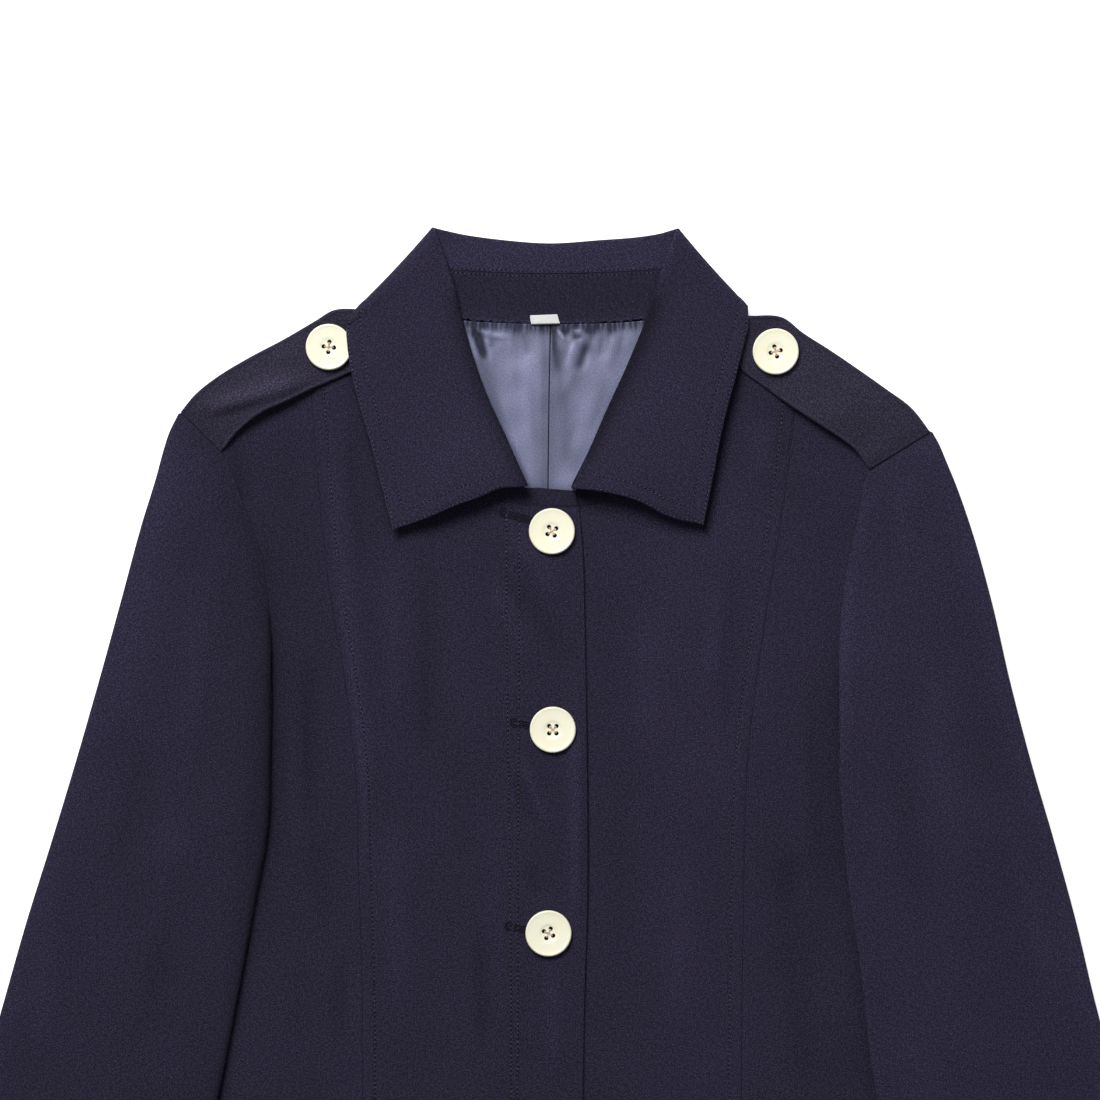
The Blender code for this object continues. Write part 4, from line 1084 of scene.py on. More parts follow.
COLLAR_STITCHES = (2.3, 2.05)  # pitch and length
STAND_STITCH = 1.3  # from the seam of fall and stand, on both
STAND_OVER_FRONT = 0.5  # how far the stand's ends lie over the fronts' edges
STAND_END_LIFT = 0.2
STAND_OVER_LINING = 0.95  # how far the stand's neck edge rises over the lining
# Shade and light on the left and the right leaf, then their width: beside the roll, and on the edge
ROLL_SHADES = ((0.45, 0.38, 5.5), (0.25, 0.1, 9))
EDGE_LIGHT = (0.1, 0.35, 0.9)


def round_corner(front, corner, back):
    """Sections that carry the folded collar round its corner, from its front to its back layer.

    Each section is the neck, stand seam, roll and edge points, and the corner's are in plan.
    """
    line = unit(corner[3] - corner[2])
    normal = np.array([-line[1], line[0]])
    made = []
    for angle in CORNER_ANGLES:
        turn = math.radians(angle)
        toward = front if angle > 0 else back
        points = []
        for k, place in enumerate(corner):
            high, low = front[k][2], back[k][2]
            radius = (high - low) / 2
            run = toward[k][:2] - place
            wide = radius / max(CORNER_SKEW, abs(unit(run) @ normal))
            wide = min(wide, CORNER_REACH * np.linalg.norm(run))
            place = place + unit(run) * wide * (1 - math.cos(turn))
            points.append((*place, (high + low) / 2 + radius * math.sin(turn)))
        made.append(np.array(points))
    return made


def neck_point(side, share):
    """The stand's neck seam at a share of its length along one front: x, y."""
    seams = SEAMS[side]
    line = aside(path(seams["neck"], seams["neck_end"]), -TURN[side] * STAND_OVER_FRONT)
    return along(line, [share])[0]


def collar_sections():
    """The collar's sections from its right to its left front end: neck, stand seam, roll and edge,
    with the bow of its leaf."""

    def front(side, row):
        share, seam_x, seam_y, roll_x, roll_y, edge_x, edge_y, seam_z, leaf_z, edge_z, bow = row
        edge_z = edge_z + LEAF_RAISE * ease((292 - edge_y) / 40)
        points = ((*neck_point(side, share), seam_z), (seam_x, seam_y, seam_z),
                  (roll_x, roll_y, leaf_z), (edge_x, edge_y, edge_z))
        return np.array(points), bow

    def back(row):
        plan = np.array(row).reshape(4, 2)
        return np.column_stack([plan, (STAND_BACK_Z, STAND_BACK_Z, FALL_BACK_Z, FALL_BACK_Z)]), 0.0

    def corner(side, front_section, back_section):
        plan = np.array(COLLAR_CORNER[side]).reshape(4, 2)
        sections = round_corner(front_section[0], plan, back_section[0])
        return [(section, CORNER_BOW) for section in sections]

    right, left = ([front(side, row) for row in COLLAR_ROWS[side]] for side in SIDES)
    middle = [back(row) for row in COLLAR_BACK]
    right_corner = corner("right", right[-1], middle[0])
    left_corner = corner("left", left[0], middle[-1])[::-1]
    return right + right_corner + middle + left_corner + left


def fall_section(seam, roll, edge, bow):
    """One section of the fall: the strip from its seam, the roll, and the leaf out to its edge."""
    middle, rise = (seam[2] + roll[2]) / 2, (roll[2] - seam[2]) / 2
    to_seam, to_edge = unit(seam[:2] - roll[:2]), unit(edge[:2] - roll[:2])
    strip = np.array([*(0.5 * (seam[:2] + roll[:2])), seam[2]])
    points = [seam + share * (strip - seam) for share in STRIP_SHARES]
    for angle in ROLL_ANGLES:
        turn = math.radians(angle)
        inward = to_seam if angle < 0 else to_edge
        place = roll[:2] + inward * abs(rise) * (1 - math.cos(turn))
        points.append(np.array([*place, middle + rise * math.sin(turn)]))
    start = points[-1]
    wide = np.linalg.norm((edge - start)[:2])
    far = np.linspace(0.04, 1 - 13.0 / wide, 22)
    for share in np.unique([*far, *(1 - np.array(LEAF_EDGE) / wide), 1.0]):
        point = start + share * (edge - start)
        point[1] += 4 * share * (1 - share) * bow
        points.append(point)
    return np.array(points)


def fall_form():
    """The fall's middle surface, and how far its points are from its edge and its front ends."""
    rows = [np.append(section.ravel(), bow) for section, bow in collar_sections()]
    fine = between(np.array(rows), 2.6, FALL_RIM)
    grid = np.array([fall_section(*row[3:12].reshape(3, 3), row[12]) for row in fine])
    across, down = lengths(grid, 1), lengths(grid, 0)
    to_edge = across[:, -1:] - across
    to_front = np.minimum(down, down[-1:] - down)
    on_front = ease((grid[..., 2] - 5) / 2)
    swell = unevenness(grid, 31, 0.16, 48) + creased(grid, COLLAR_CREASES)
    swell = swell * leaf_part(to_edge) * on_front
    grid[..., 2] += swell * ease(np.minimum(to_edge, to_front) / 8)
    grid[..., 2] += FRONT_END_RISE * (bell(to_front, 34) * ease(to_edge / 50)) * on_front
    drawn = bell(grid[..., 0] + 27, 8) * bell(to_front, 14)
    grid[..., 1] += FRONT_END_DRAWN * drawn * on_front * ease(to_edge / 20)
    near_tip = bell(to_edge - 20, 14) * ease(to_edge / 10) * bell(to_front, 14)
    grid[..., 1] -= np.where(grid[..., 0] < 0, *TIP_FULLNESS) * near_tip * on_front
    grid[..., 2] = np.maximum(grid[..., 2], COLLAR_CLOTH / 2)
    return grid, to_edge, to_front


def leaf_part(to_edge):
    """1 on the leaf and 0 on the roll and the strip to the stand."""
    return ease((to_edge[:, :1] * LEAF_SHARE - to_edge) / 14)


def sunk_seam(relief, from_seam):
    """A relief with the sunk seam of fall and stand, and the groove of the stitches beside it."""
    return relief - 0.12 * (1 - curl(from_seam, 0.8)) + groove(from_seam - STAND_STITCH, 0.4, 0.12)


def make_fall():
    """The fall, with its middle surface and its points' distances from its edge."""
    grid, to_edge, to_front = fall_form()
    leaf, from_seam = leaf_part(to_edge), lengths(grid, 1)
    border = np.minimum(to_edge, np.where(to_edge < to_edge[:, :1] * LEAF_SHARE, to_front, 99))
    relief = groove(border - COLLAR_EDGE_STITCH, 0.4, 0.22)
    relief = relief + groove(border - COLLAR_INNER_STITCH, 0.6, 0.18)
    strip = 0.12 * ease((border - 1.6) / 1.5) * ease((COLLAR_INNER_STITCH - 0.4 - border) / 1.5)
    relief = sunk_seam((relief + strip) * leaf, from_seam)
    x, y = grid[..., 0], grid[..., 1]
    # Painted light and shade: the collar a little lighter overall and lighter still on the strip behind
    # its seam at the back, which turns towards the lamp; then painted shade beside the roll and painted
    # light on the leaves' edges
    tone = 1.08 + 0.22 * ease((20 - from_seam) / 6) * ease((y - 300) / 10)
    from_roll = from_seam - from_seam[:, ROLL_INDEX : ROLL_INDEX + 1]
    for on_left, on_right, width in ROLL_SHADES:
        shade = np.where(x > 0, on_left, on_right) * ease((330 - y) / 30)
        tone = tone - shade * bell(from_roll, width)
    on_left, on_right, width = EDGE_LIGHT
    tone = tone + np.where(x > 0, on_left, on_right) * leaf * bell(border, width)
    made = cloth("collar_leaf_and_roll", grid, COLLAR_CLOTH, 1, TWILL, relief, grain=30,
                 left=PRESSED, tone=tone)
    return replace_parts(made, "collar_fall"), grid, to_edge


def make_stand():
    """The stand, from the neck seam up to the fall, with its ends on the fronts."""

    def ends(side):
        rows = STAND_ENDS[side]
        return [np.array([(*neck_point(side, share), z), (x, y, z)]) for share, x, y, z in rows]

    def strip(section):
        neck, seam = section[:2]
        return np.array([neck, (*(seam[:2] + SEAM_GAP * unit((neck - seam)[:2])), seam[2])])

    sections = ends("right") + [strip(section) for section, _ in collar_sections()] + ends("left")
    fine = between(np.reshape(sections, (len(sections), -1)), 1.2, RIM).reshape(-1, 2, 3)
    along_neck = lengths(fine, 0)[:, 0]
    drawn = puckers(along_neck, 41, 3.8, 0.75) + puckers(along_neck, 42, 9.0, 0.35)
    at_back = ease((fine[:, :1, 1] - 288) / 3)
    fine[:, 0, 1] += (drawn - 0.5) * at_back[:, 0]
    stand_rim = RIM + (1.4, 2.0)
    shares = evenly(9, 24, stand_rim, stand_rim)[None, :, None]
    grid = (1 - shares) * fine[:, :1] + shares * fine[:, 1:]
    across, down = lengths(grid, 1), lengths(grid, 0)
    bumps = puckers(down, 41, 5.5, 0.35) + puckers(down, 42, 11.0, 0.25)
    relief = sunk_seam(bumps * bell(across, 2.4), across[:, -1:] - across)
    grid[..., 2] += unevenness(grid, 44, 0.1, 30) * ease(rim_distance(grid) / 5)
    grid[..., 2] += STAND_OVER_LINING * (1 - ease(across / 8)) * at_back
    grid[..., 2] += STAND_END_LIFT * (1 - ease(across / 3)) * (1 - at_back)
    # Painted shade and light: the stand a little darker overall, with a painted highlight along its neck
    # edge at the back, which faces away from the lamp
    made = cloth("collar_stand_band", grid, COLLAR_CLOTH, 1, TWILL, relief, grain=30, lining=relief,
                 uv=np.dstack([down, across]), left=np.where(at_back > 0.5, 0.45, 0.25),
                 right=PRESSED, tone=0.83 + 0.9 * bell(across, 1.3) * at_back)
    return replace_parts(made, "collar_stand"), grid


# Shoulder straps

STRAP_TUCK = 0.1  # how far a strap's end reaches into the sleeve seam, of its first station
STRAP_END_DROP = 1.2
STRAP_RIM = RIM + (1.5, 2.2, 3.0)


def make_strap(side):
    """A shoulder strap, which arches up from the sleeve and lies flat under its button."""
    turn = -TURN[side]
    rows = np.array(STRAP_EDGES[side])
    rows[0] += STRAP_TUCK * (rows[0] - rows[1])
    fine = between(rows, 2.0, RIM)
    shares = evenly(24, 30, STRAP_RIM, STRAP_RIM)
    upper, lower = fine[:, None, :2], fine[:, None, 2:]
    grid = upper + shares[None, :, None] * (lower - upper)
    place = stations(fine)
    length = np.interp(place, stations(rows), np.linspace(0, 1, len(rows)))[:, None]
    arch = STRAP_ARCH * np.sin(np.pi * np.clip(length / STRAP_ARCH_LENGTH, 0, 1)) ** 1.3
    droop = STRAP_DROOP * (1 - shares[None, :]) ** 4 * np.sin(np.pi * length)
    edge = rim_distance(raised(grid, 0))
    creases = creased(grid, STRAP_CREASES[side])
    folds = creases + unevenness(grid, 51 + turn, 0.14, 26)
    height = STRAP_Z + fall_lift(grid) + arch - droop + folds * ease(edge / 5) * calm(grid)
    height = height - STRAP_END_DROP * (1 - ease(place / 8))[:, None]
    lip = 0.3 * bell(edge - 1.2, 0.7) + groove(edge - 2.6, 0.8, 0.12)
    # Painted light and shade: lighter on the lip and on the creases' ridges, darker in their troughs; the
    # left strap is painted lighter near its sleeve end
    tone = crease_shading(creases) + 0.3 * lip
    if side == "left":
        tone = tone + 0.22 * (1 - ease(place / 50))[:, None]
    made = cloth(f"shoulder_strap_{side}", raised(grid, height), STRAP_CLOTH, turn, TWILL_STRAP_LIT, lip,
                 grain=33 * turn, tone=tone)
    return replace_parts(made, f"strap_{side}")


# Lining and label

LINING_SLACK = 0.9  # how far the lining stands up in the neck opening
LINING_FOLD_HEIGHT = 0.6
LINING_TONES = (0.16, 1.5)


def make_lining(side):
    """Half of the satin in the neck, gathered into its seam and slack in the opening."""
    turn = TURN[side]
    seam = smooth(LINING_SEAM)
    seam[:, 0] -= turn * GAP / 2
    edge = smooth(LINING_OUTER[side])
    neck = smooth(neck_half(side))
    neck[0], neck[-1] = edge[0], seam[0]
    bottom = np.vstack([edge[-1:], seam[-1:]])
    grid = coons(neck, bottom, edge, seam, evenly(98, 70, RIM, RIM), evenly(112, 140, RIM, RIM))
    x, y = grid[..., 0], grid[..., 1]
    opening = ease((1 - np.abs(x - 1) / (11 + 0.43 * (y - 196))) / 0.22) * ease((y - 196) / 12)
    down = distance(grid, neck)
    folds = creased(grid, LINING_CREASES) * ease((down - 1.5) / 3)
    gathers = puckers(x, 61, 3.6, 1.0)
    drawn = np.exp(-((down / 5.6) ** 3.2))
    full = LINING_SLACK * ease(down / 14) + LINING_FOLD_HEIGHT * folds + unevenness(grid, 63, 0.16, 22)
    height = LINING_Z + fall_lift(grid, 58, 53) + full * opening
    height = height + 0.13 * gathers * drawn * opening * ease(rim_distance(raised(grid, 0)) / 1.2)
    relief = -0.3 * (1 - curl(distance(grid, seam), 0.8))
    # Painted light and shade on the satin: a painted shadow in the strip under the stand, light and dark
    # with the gathers and folds, a painted highlight in a band below the strip, painted shade beside the
    # middle seam, and the painted stripes
    tone = 1 + (0.36 * (puckers(x, 64, 2.1, 1.0) - 0.5) * bell(down, 3.6) - 0.22) * drawn
    ridge_highlight = bell(down - 6.4, 2.4) * (0.7 + 0.6 * puckers(x, 62, 9.0, 1.0))
    tone = tone + 0.24 * (gathers - 0.5) * drawn + groove(down - 5, 8, 0.26) + 0.06 * ridge_highlight
    tone = tone + 0.5 * folds
    if side == "right":
        tone = tone + groove(x - seam[:, 0].mean() + 2.4, 1.8, 0.14)
    tone = np.clip(tone + creased(grid, LINING_PAINTED_SHADES), *LINING_TONES)
    made = cloth(f"lining_{side}_satin", raised(grid, height), LINING_CLOTH, turn, SATIN, relief,
                 tone=tone)
    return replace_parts(made, f"lining_{side}")


def make_label():
    """A blank tape label, folded over at its free edge and caught in the neck seam."""
    fine = between(np.array(LABEL), 0.7, (0.1, 0.3))
    upper, lower = fine[:, None, :2], fine[:, None, 2:]
    up = evenly(7, 4.5, (0.1, 0.2))[None, :, None]
    angle = np.radians(np.arange(-60, 61, 20))[None, :, None]
    radius = LABEL_CLOTH * 0.72
    fold = upper + np.cos(angle) * radius * np.array([0.0, 1.0])
    plan = np.concatenate([lower + up * (upper - lower), fold, upper + up * (lower - upper)], axis=1)
    low = STAND_BACK_Z + COLLAR_CLOTH / 2 + GAP + STAND_OVER_LINING + LABEL_CLOTH / 2
    flat = np.zeros_like(up[..., 0])
    height = np.concatenate([flat, radius * (1 + np.sin(angle[..., 0])), flat + 2 * radius], axis=1)
    sag = 0.3 * np.sin((plan[..., 0] + 12) / 16.5 * math.pi) ** 2 + unevenness(plan, 71, 0.06, 9)
    made = cloth("neck_label", raised(plan, low + height + sag), LABEL_CLOTH, -1, TAPE)
    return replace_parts(made, "label")


# Buttons

BUTTON_RADIUS = 12.2
BUTTON_STEPS = 72
BUTTON_EDGE = 42  # degrees past which an edge of the button looks sharp
HOLE_RADIUS = 1.15
HOLE_SPREAD = 2.75
HOLE_STEPS = 20
# radius, height of a button's outline from the middle of its top to the middle of its bottom
BUTTON_PROFILE = (
    (0.0, 1.85), (2.6, 1.86), (3.7, 1.92), (4.3, 2.08), (4.7, 2.26), (5.2, 2.36), (6.0, 2.4),
    (8.4, 2.53), (10.2, 2.68), (10.8, 2.8), (11.15, 2.94), (11.4, 2.98), (11.65, 2.93),
    (11.9, 2.72), (12.08, 2.4), (BUTTON_RADIUS, 2.0), (BUTTON_RADIUS, 1.6), (12.1, 1.25),
    (11.7, 0.8), (11.0, 0.4), (9.9, 0.12), (8.6, 0.0), (0.0, 0.0),
)
STRANDS = (-0.3, 0.0, 0.3)  # places of a hole's threads beside each other
STRAND_RADIUS = 0.2
STRAND_Z = 1.93
STRAND_RISE = 0.16  # of the pair of threads that crosses over the other

# A keyhole buttonhole from its eye to its tail: x, y, x, y
BUTTONHOLES = (
    (-25.4, 191.6, 3.0, 183.8),
    (-19.8, 80.6, 4.2, 75.4),
    (-22.6, -27.2, 4.0, -33.0),
    (-20.6, -134.0, 4.0, -138.5),
    (-20.8, -240.4, 4.0, -244.6),
)
BUTTONHOLE_PITCH = 0.55
BUTTONHOLE_START = 5  # the first pair of its straight threads past the eye
BUTTONHOLE_SIDE = (0.2, 1.9)  # from the slit: a thread's near and far end
BUTTONHOLE_EYE = (0.8, 2.5)  # from the eye's middle
EYE_THREADS = 18
EYE_TURN = (48, 264)  # degrees where the eye's threads start, and how far round they go
BUTTONHOLE_THREAD = 0.25


def added(name, mesh):
    """A new object in the scene."""
    made = bpy.data.objects.new(name, mesh)
    bpy.context.scene.collection.objects.link(made)
    return made


def mesh_of(name, shape):
    """A mesh made from a bmesh, which is then freed."""
    mesh = bpy.data.meshes.new(name)
    shape.to_mesh(mesh)
    shape.free()
    return mesh


def turned_button():
    """A button's outline turned into a solid, with four holes cut through it."""
    shape = bmesh.new()
    angles = [2 * math.pi * k / BUTTON_STEPS for k in range(BUTTON_STEPS)]
    rings = []
    for radius, height in BUTTON_PROFILE[1:-1]:
        places = [(radius * math.cos(angle), radius * math.sin(angle), height) for angle in angles]
        rings.append([shape.verts.new(place) for place in places])
    top = shape.verts.new((0, 0, BUTTON_PROFILE[0][1]))
    bottom = shape.verts.new((0, 0, 0))
    for k in range(BUTTON_STEPS):
        ahead = (k + 1) % BUTTON_STEPS
        shape.faces.new((top, rings[0][k], rings[0][ahead]))
        shape.faces.new((bottom, rings[-1][ahead], rings[-1][k]))
        for above, below in zip(rings[:-1], rings[1:]):
            shape.faces.new((above[k], below[k], below[ahead], above[ahead]))
    bmesh.ops.scale(shape, vec=(MM, MM, MM), verts=shape.verts)
    body = added("button_shape", mesh_of("button_shape", shape))
    pins = added("button_pins", hole_pins())
    cut = body.modifiers.new("holes", "BOOLEAN")
    cut.object = pins
    bpy.context.view_layer.update()
    evaluated = body.evaluated_get(bpy.context.evaluated_depsgraph_get())
    finished = bpy.data.meshes.new_from_object(evaluated)
    for made in (body, pins):
        bpy.data.objects.remove(made, do_unlink=True)
    finished.materials.clear()
    finished.materials.append(RESIN[0])
    finished.shade_smooth()
    finished.set_sharp_from_angle(angle=math.radians(BUTTON_EDGE))
    return finished


def hole_pins():
    """The four pins that cut a button's holes."""
    shape = bmesh.new()
    radius = HOLE_RADIUS * MM
    for x, y in button_holes(0.0):
        made = bmesh.ops.create_cone(
            shape, cap_ends=True, segments=HOLE_STEPS, radius1=radius, radius2=radius, depth=8 * MM
        )
        bmesh.ops.translate(shape, verts=made["verts"], vec=(x * MM, y * MM, 1.5 * MM))
    return mesh_of("hole_pins", shape)


def button_holes(turn):
    """The middles of the holes of a button turned by so many degrees."""
    angles = [math.radians(turn + 45 + 90 * k) for k in range(4)]
    return [(HOLE_SPREAD * math.cos(a), HOLE_SPREAD * math.sin(a)) for a in angles]


def make_button(name, mesh, turn):
    """A button where its solid lies, with the thread that holds it."""
    x, y, z = BUTTON_PLACES[name]
    made = added(f"{name}_resin", mesh)
    made.location = (x * MM, y * MM, z * MM)
    made.rotation_euler = (0, 0, math.radians(turn))
    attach(made, ROOT)
    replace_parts(made, name)
    starts, ends = [], []
    holes = np.array([(*hole, 0.0) for hole in button_holes(turn)])
    for first, second in ((0, 2), (1, 3)):
        side = np.array([-holes[first][1], holes[first][0], 0]) / HOLE_SPREAD
        for strand in STRANDS:
            lift = np.array([x, y, z + STRAND_Z + STRAND_RISE * first + 0.05 * strand])
            starts.append(holes[first] * 0.92 + side * strand + lift)
            ends.append(holes[second] * 0.92 + side * strand * 0.7 + lift)
    up = np.tile([0.0, 0.0, 1.0], (len(starts), 1))
    threads(f"{name}_thread", np.array(starts), np.array(ends), up, STRAND_RADIUS, BUTTON_THREAD)


def buttonhole_plan(eye, tail):
    """A keyhole buttonhole's threads in plan, across both sides of its slit and round its eye: the
    near and the far end of each."""
    run = unit(tail - eye)
    side = np.array([-run[1], run[0]])
    plan = []
    for k in range(BUTTONHOLE_START, int(np.linalg.norm(tail - eye) / BUTTONHOLE_PITCH)):
        place = eye + run * BUTTONHOLE_PITCH * k
        plan += [[place + side * hand * away for away in BUTTONHOLE_SIDE] for hand in (-1, 1)]
    start, round_eye = EYE_TURN
    for k in range(EYE_THREADS):
        angle = math.radians(start + round_eye * k / (EYE_THREADS - 1))
        out = run * math.cos(angle) + side * math.sin(angle)
        plan.append([eye + out * away for away in BUTTONHOLE_EYE])
    return np.array(plan)


def make_buttonholes(piece):
    """The buttonholes' threads, laid on their front."""
    tree = ground(piece)
    plan = np.vstack([buttonhole_plan(*np.reshape(row, (2, 2))) for row in BUTTONHOLES])
    start, normal = dropped(tree, plan[:, 0])
    end, _ = dropped(tree, plan[:, 1])
    return threads("buttonholes", start, end, normal, BUTTONHOLE_THREAD, HOLE_THREAD)


# Rows of stitches

LEAF_TOP_Z = 6.5  # a leaf's stitches end where it comes down under this, or past LEAF_TOP_Y
LEAF_TOP_Y = 296
BACK_FROM_Y, BACK_HALF_WIDTH, BACK_TOP_Z = 309, 59, 6.4


def hem_line(first, second, inset=1.0):
    """A row of hem stitches from one x to another, `inset` from both."""
    low, high = sorted((first, second))
    return np.array([(low + inset, HEM_STITCH_Y), (high - inset, HEM_STITCH_Y)])


def at_hem(curve):
    """x where a seam crosses the hem's row of stitches."""
    line = smooth(curve)
    return np.interp(-HEM_STITCH_Y, -line[:, 1], line[:, 0])


def inset_line(grid, to_edge, inset, end):
    """The line `inset` from a leaf's border, along its front end and up its outer edge."""
    order = 1 if end == "right" else -1
    rows, edge_away = grid[::order], to_edge[::order]
    front_away = lengths(rows, 0)
    line = []
    for j in range(rows.shape[1]):
        if inset < edge_away[0, j] < 0.8 * edge_away[0, 0]:
            line.append(sampled(rows[:, j], front_away[:, j], [inset])[0])
    for i, row in enumerate(rows):
        at = sampled(row, -edge_away[i], [-inset])[0]
        if at[2] < LEAF_TOP_Z or row[-1, 1] > LEAF_TOP_Y:
            break
        if front_away[i, -1] > inset:
            line.append(at)
    return np.array(line)


def back_line(grid):
    """The row of stitches beside a grid's seam of fall and stand, where it shows behind the neck."""
    rows = zip(grid, lengths(grid, 1))
    line = np.array([sampled(row, away, [STAND_STITCH])[0] for row, away in rows])
    x, y, z = line.T
    return line[(y > BACK_FROM_Y) & (np.abs(x) < BACK_HALF_WIDTH) & (z < BACK_TOP_Z)]


# Finishes


class Nodes:
    """A material's nodes, made and joined in one call each."""

    def __init__(self, name):
        self.material = bpy.data.materials.new(name)
        self.material.use_nodes = True
        self.tree = self.material.node_tree

    def put(self, socket, value):
        """Joins a socket to another one, or sets it to a constant."""
        if isinstance(value, bpy.types.NodeSocket):
            self.tree.links.new(value, socket)
        else:
            socket.default_value = value

    def add(self, kind, links=(), **settings):
        node = self.tree.nodes.new(kind)
        for key, value in settings.items():
            setattr(node, key, value)
        for socket, value in dict(links).items():
            self.put(node.inputs[socket], value)
        return node

    def set(self, **sockets):
        """Sets the shader's own sockets."""
        shader = self.tree.nodes["Principled BSDF"]
        for key, value in sockets.items():
            self.put(shader.inputs[key.replace("_", " ")], value)

    def math(self, operation, *values):
        return self.add("ShaderNodeMath", dict(enumerate(values)), operation=operation).outputs[0]

    def noise(self, where, scale, detail=2.0, rough=0.5):
        links = {"Vector": where, "Scale": scale, "Detail": detail, "Roughness": rough}
        return self.add("ShaderNodeTexNoise", links).outputs["Fac"]

    def waves(self, where, scale, direction, distortion=0.6, detail_scale=1.0):
        links = {"Vector": where, "Scale": scale, "Distortion": distortion, "Detail Scale": detail_scale}
        return self.add("ShaderNodeTexWave", links, bands_direction=direction).outputs["Fac"]

    def ramp(self, value, *stops):
        node = self.add("ShaderNodeValToRGB", {"Fac": value})
        for element, (place, colour) in zip(node.color_ramp.elements, stops):
            element.position = place
            element.color = (*colour, 1)
        return node.outputs["Color"]

    def spread(self, value, low, high, start=0.0, end=1.0):
        """A value from start to end, spread over low to high."""
        links = {"Value": value, "To Min": low, "To Max": high, "From Min": start, "From Max": end}
        return self.add("ShaderNodeMapRange", links).outputs["Result"]

    def tint(self, colour, *factors):
        """A colour brightened or darkened by factors that vary over the surface."""
        factor = factors[0]
        for other in factors[1:]:
            factor = self.math("MULTIPLY", factor, other)
        node = self.add("ShaderNodeVectorMath", {0: colour, "Scale": factor}, operation="SCALE")
        return node.outputs[0]

    def bump(self, height, distance, strength=0.5):
        links = {"Height": height, "Distance": distance, "Strength": strength}
        return self.add("ShaderNodeBump", links).outputs["Normal"]

    def weave(self):
        """The place on the cloth in metres, along its grain."""
        return self.add("ShaderNodeUVMap", uv_map="UVMap").outputs["UV"]

    def place(self):
        """The place in the object in metres."""
        return self.add("ShaderNodeTexCoord").outputs["Object"]

    def painted_shading(self):
        """The painted light and shade that the mesh carries."""
        return self.add("ShaderNodeAttribute", attribute_name="painted_shading").outputs["Fac"]


WALE_SCALE = 0.444 / 0.0005  # diagonal bands half a millimetre apart
FLECKS = 0.85  # strength of the lighter and darker yarn
# the straps' navy is a lighter copy of the twill, painted light for the light on their arches
NAVY, STRAP_NAVY_LIT = (0.0206, 0.0175, 0.0380), (0.0265, 0.0232, 0.0428)
SATIN_BLUE = (0.190, 0.201, 0.325)
RESIN_CREAM, RESIN_PALE = (1.0, 0.97, 0.745), (1.0, 0.985, 0.79)
HOLE_SHADE_REACH = (0.0036, 0.00178)  # radius and height under which the button's holes are painted dark, as shade in them
TAPE_WHITE = (0.73, 0.73, 0.725)
FLOOR_WHITE = (0.93, 0.93, 0.93)


def twill_finish(name, colour):
    """Brushed wool-like twill: diagonal wales, soft fibres and flecks of lighter and darker yarn."""
    made = Nodes(name)
    weave = made.weave()
    wales = made.waves(weave, WALE_SCALE, "DIAGONAL", 2.2, 1.3)
    flecks = made.noise(weave, 1350, 3.0, 0.75)
    fibres = made.noise(weave, 3400, 2.0, 0.6)
    broad = made.noise(weave, 26, 3.0, 0.55)
    mottled = made.noise(weave, 500)
    # how pointed the surface is: the cloth is made lighter on convex edges and rims
    convex_edges = made.add("ShaderNodeNewGeometry").outputs["Pointiness"]
    # The base colour takes the mesh's painted light and shade
    base = made.tint(
        colour,
        made.spread(flecks, 1 - 0.65 * FLECKS, 1 + 1.5 * FLECKS, 0.44, 0.66),
        made.spread(wales, 0.95, 1.05),
        made.spread(mottled, 0.84, 1.16, 0.34, 0.66),
        made.spread(broad, 0.94, 1.06, 0.3, 0.7),
        made.spread(convex_edges, 1.0, 1.25, 0.52, 0.6),
        made.painted_shading(),
    )
    relief = made.math("ADD", made.math("MULTIPLY", wales, 0.4), made.math("MULTIPLY", fibres, 0.8))
    made.set(Base_Color=base, Roughness=made.spread(fibres, 0.78, 0.95),
             Normal=made.bump(relief, 0.00012))
    made.set(Sheen_Weight=0.04, Sheen_Roughness=0.4, Sheen_Tint=(0.7, 0.66, 0.95, 1))
    made.set(Specular_IOR_Level=0.12)
    return made.material


def satin_finish():
    """Viscose satin: fine lines along the warp, a broad sheen and faint slubs."""
    made = Nodes("blue_satin")
    weave, painted_shading = made.weave(), made.painted_shading()
    stretched = made.add("ShaderNodeMapping", {"Vector": weave, "Scale": (2600, 160, 1)}).outputs[0]
    warp = made.noise(stretched, 1.0, 2.0, 0.6)
    slubs = made.noise(weave, 60, 3.0, 0.6)
    grain = made.noise(weave, 1400, 2.0, 0.6)
    # The base colour takes the mesh's painted light and shade
    base = made.tint(SATIN_BLUE, made.spread(warp, 0.9, 1.1), made.spread(slubs, 0.93, 1.07),
                     made.spread(grain, 0.7, 1.3, 0.32, 0.68), painted_shading)
    made.set(Base_Color=base, Roughness=made.spread(warp, 0.4, 0.52), Normal=made.bump(warp, 0.00004))
    # The satin reflects less where it is painted dark: the painted shade dims its shine too
    made.set(Metallic=0.25, Specular_IOR_Level=made.spread(painted_shading, 0.0, 0.6, 0.3, 1.0))
    return made.material


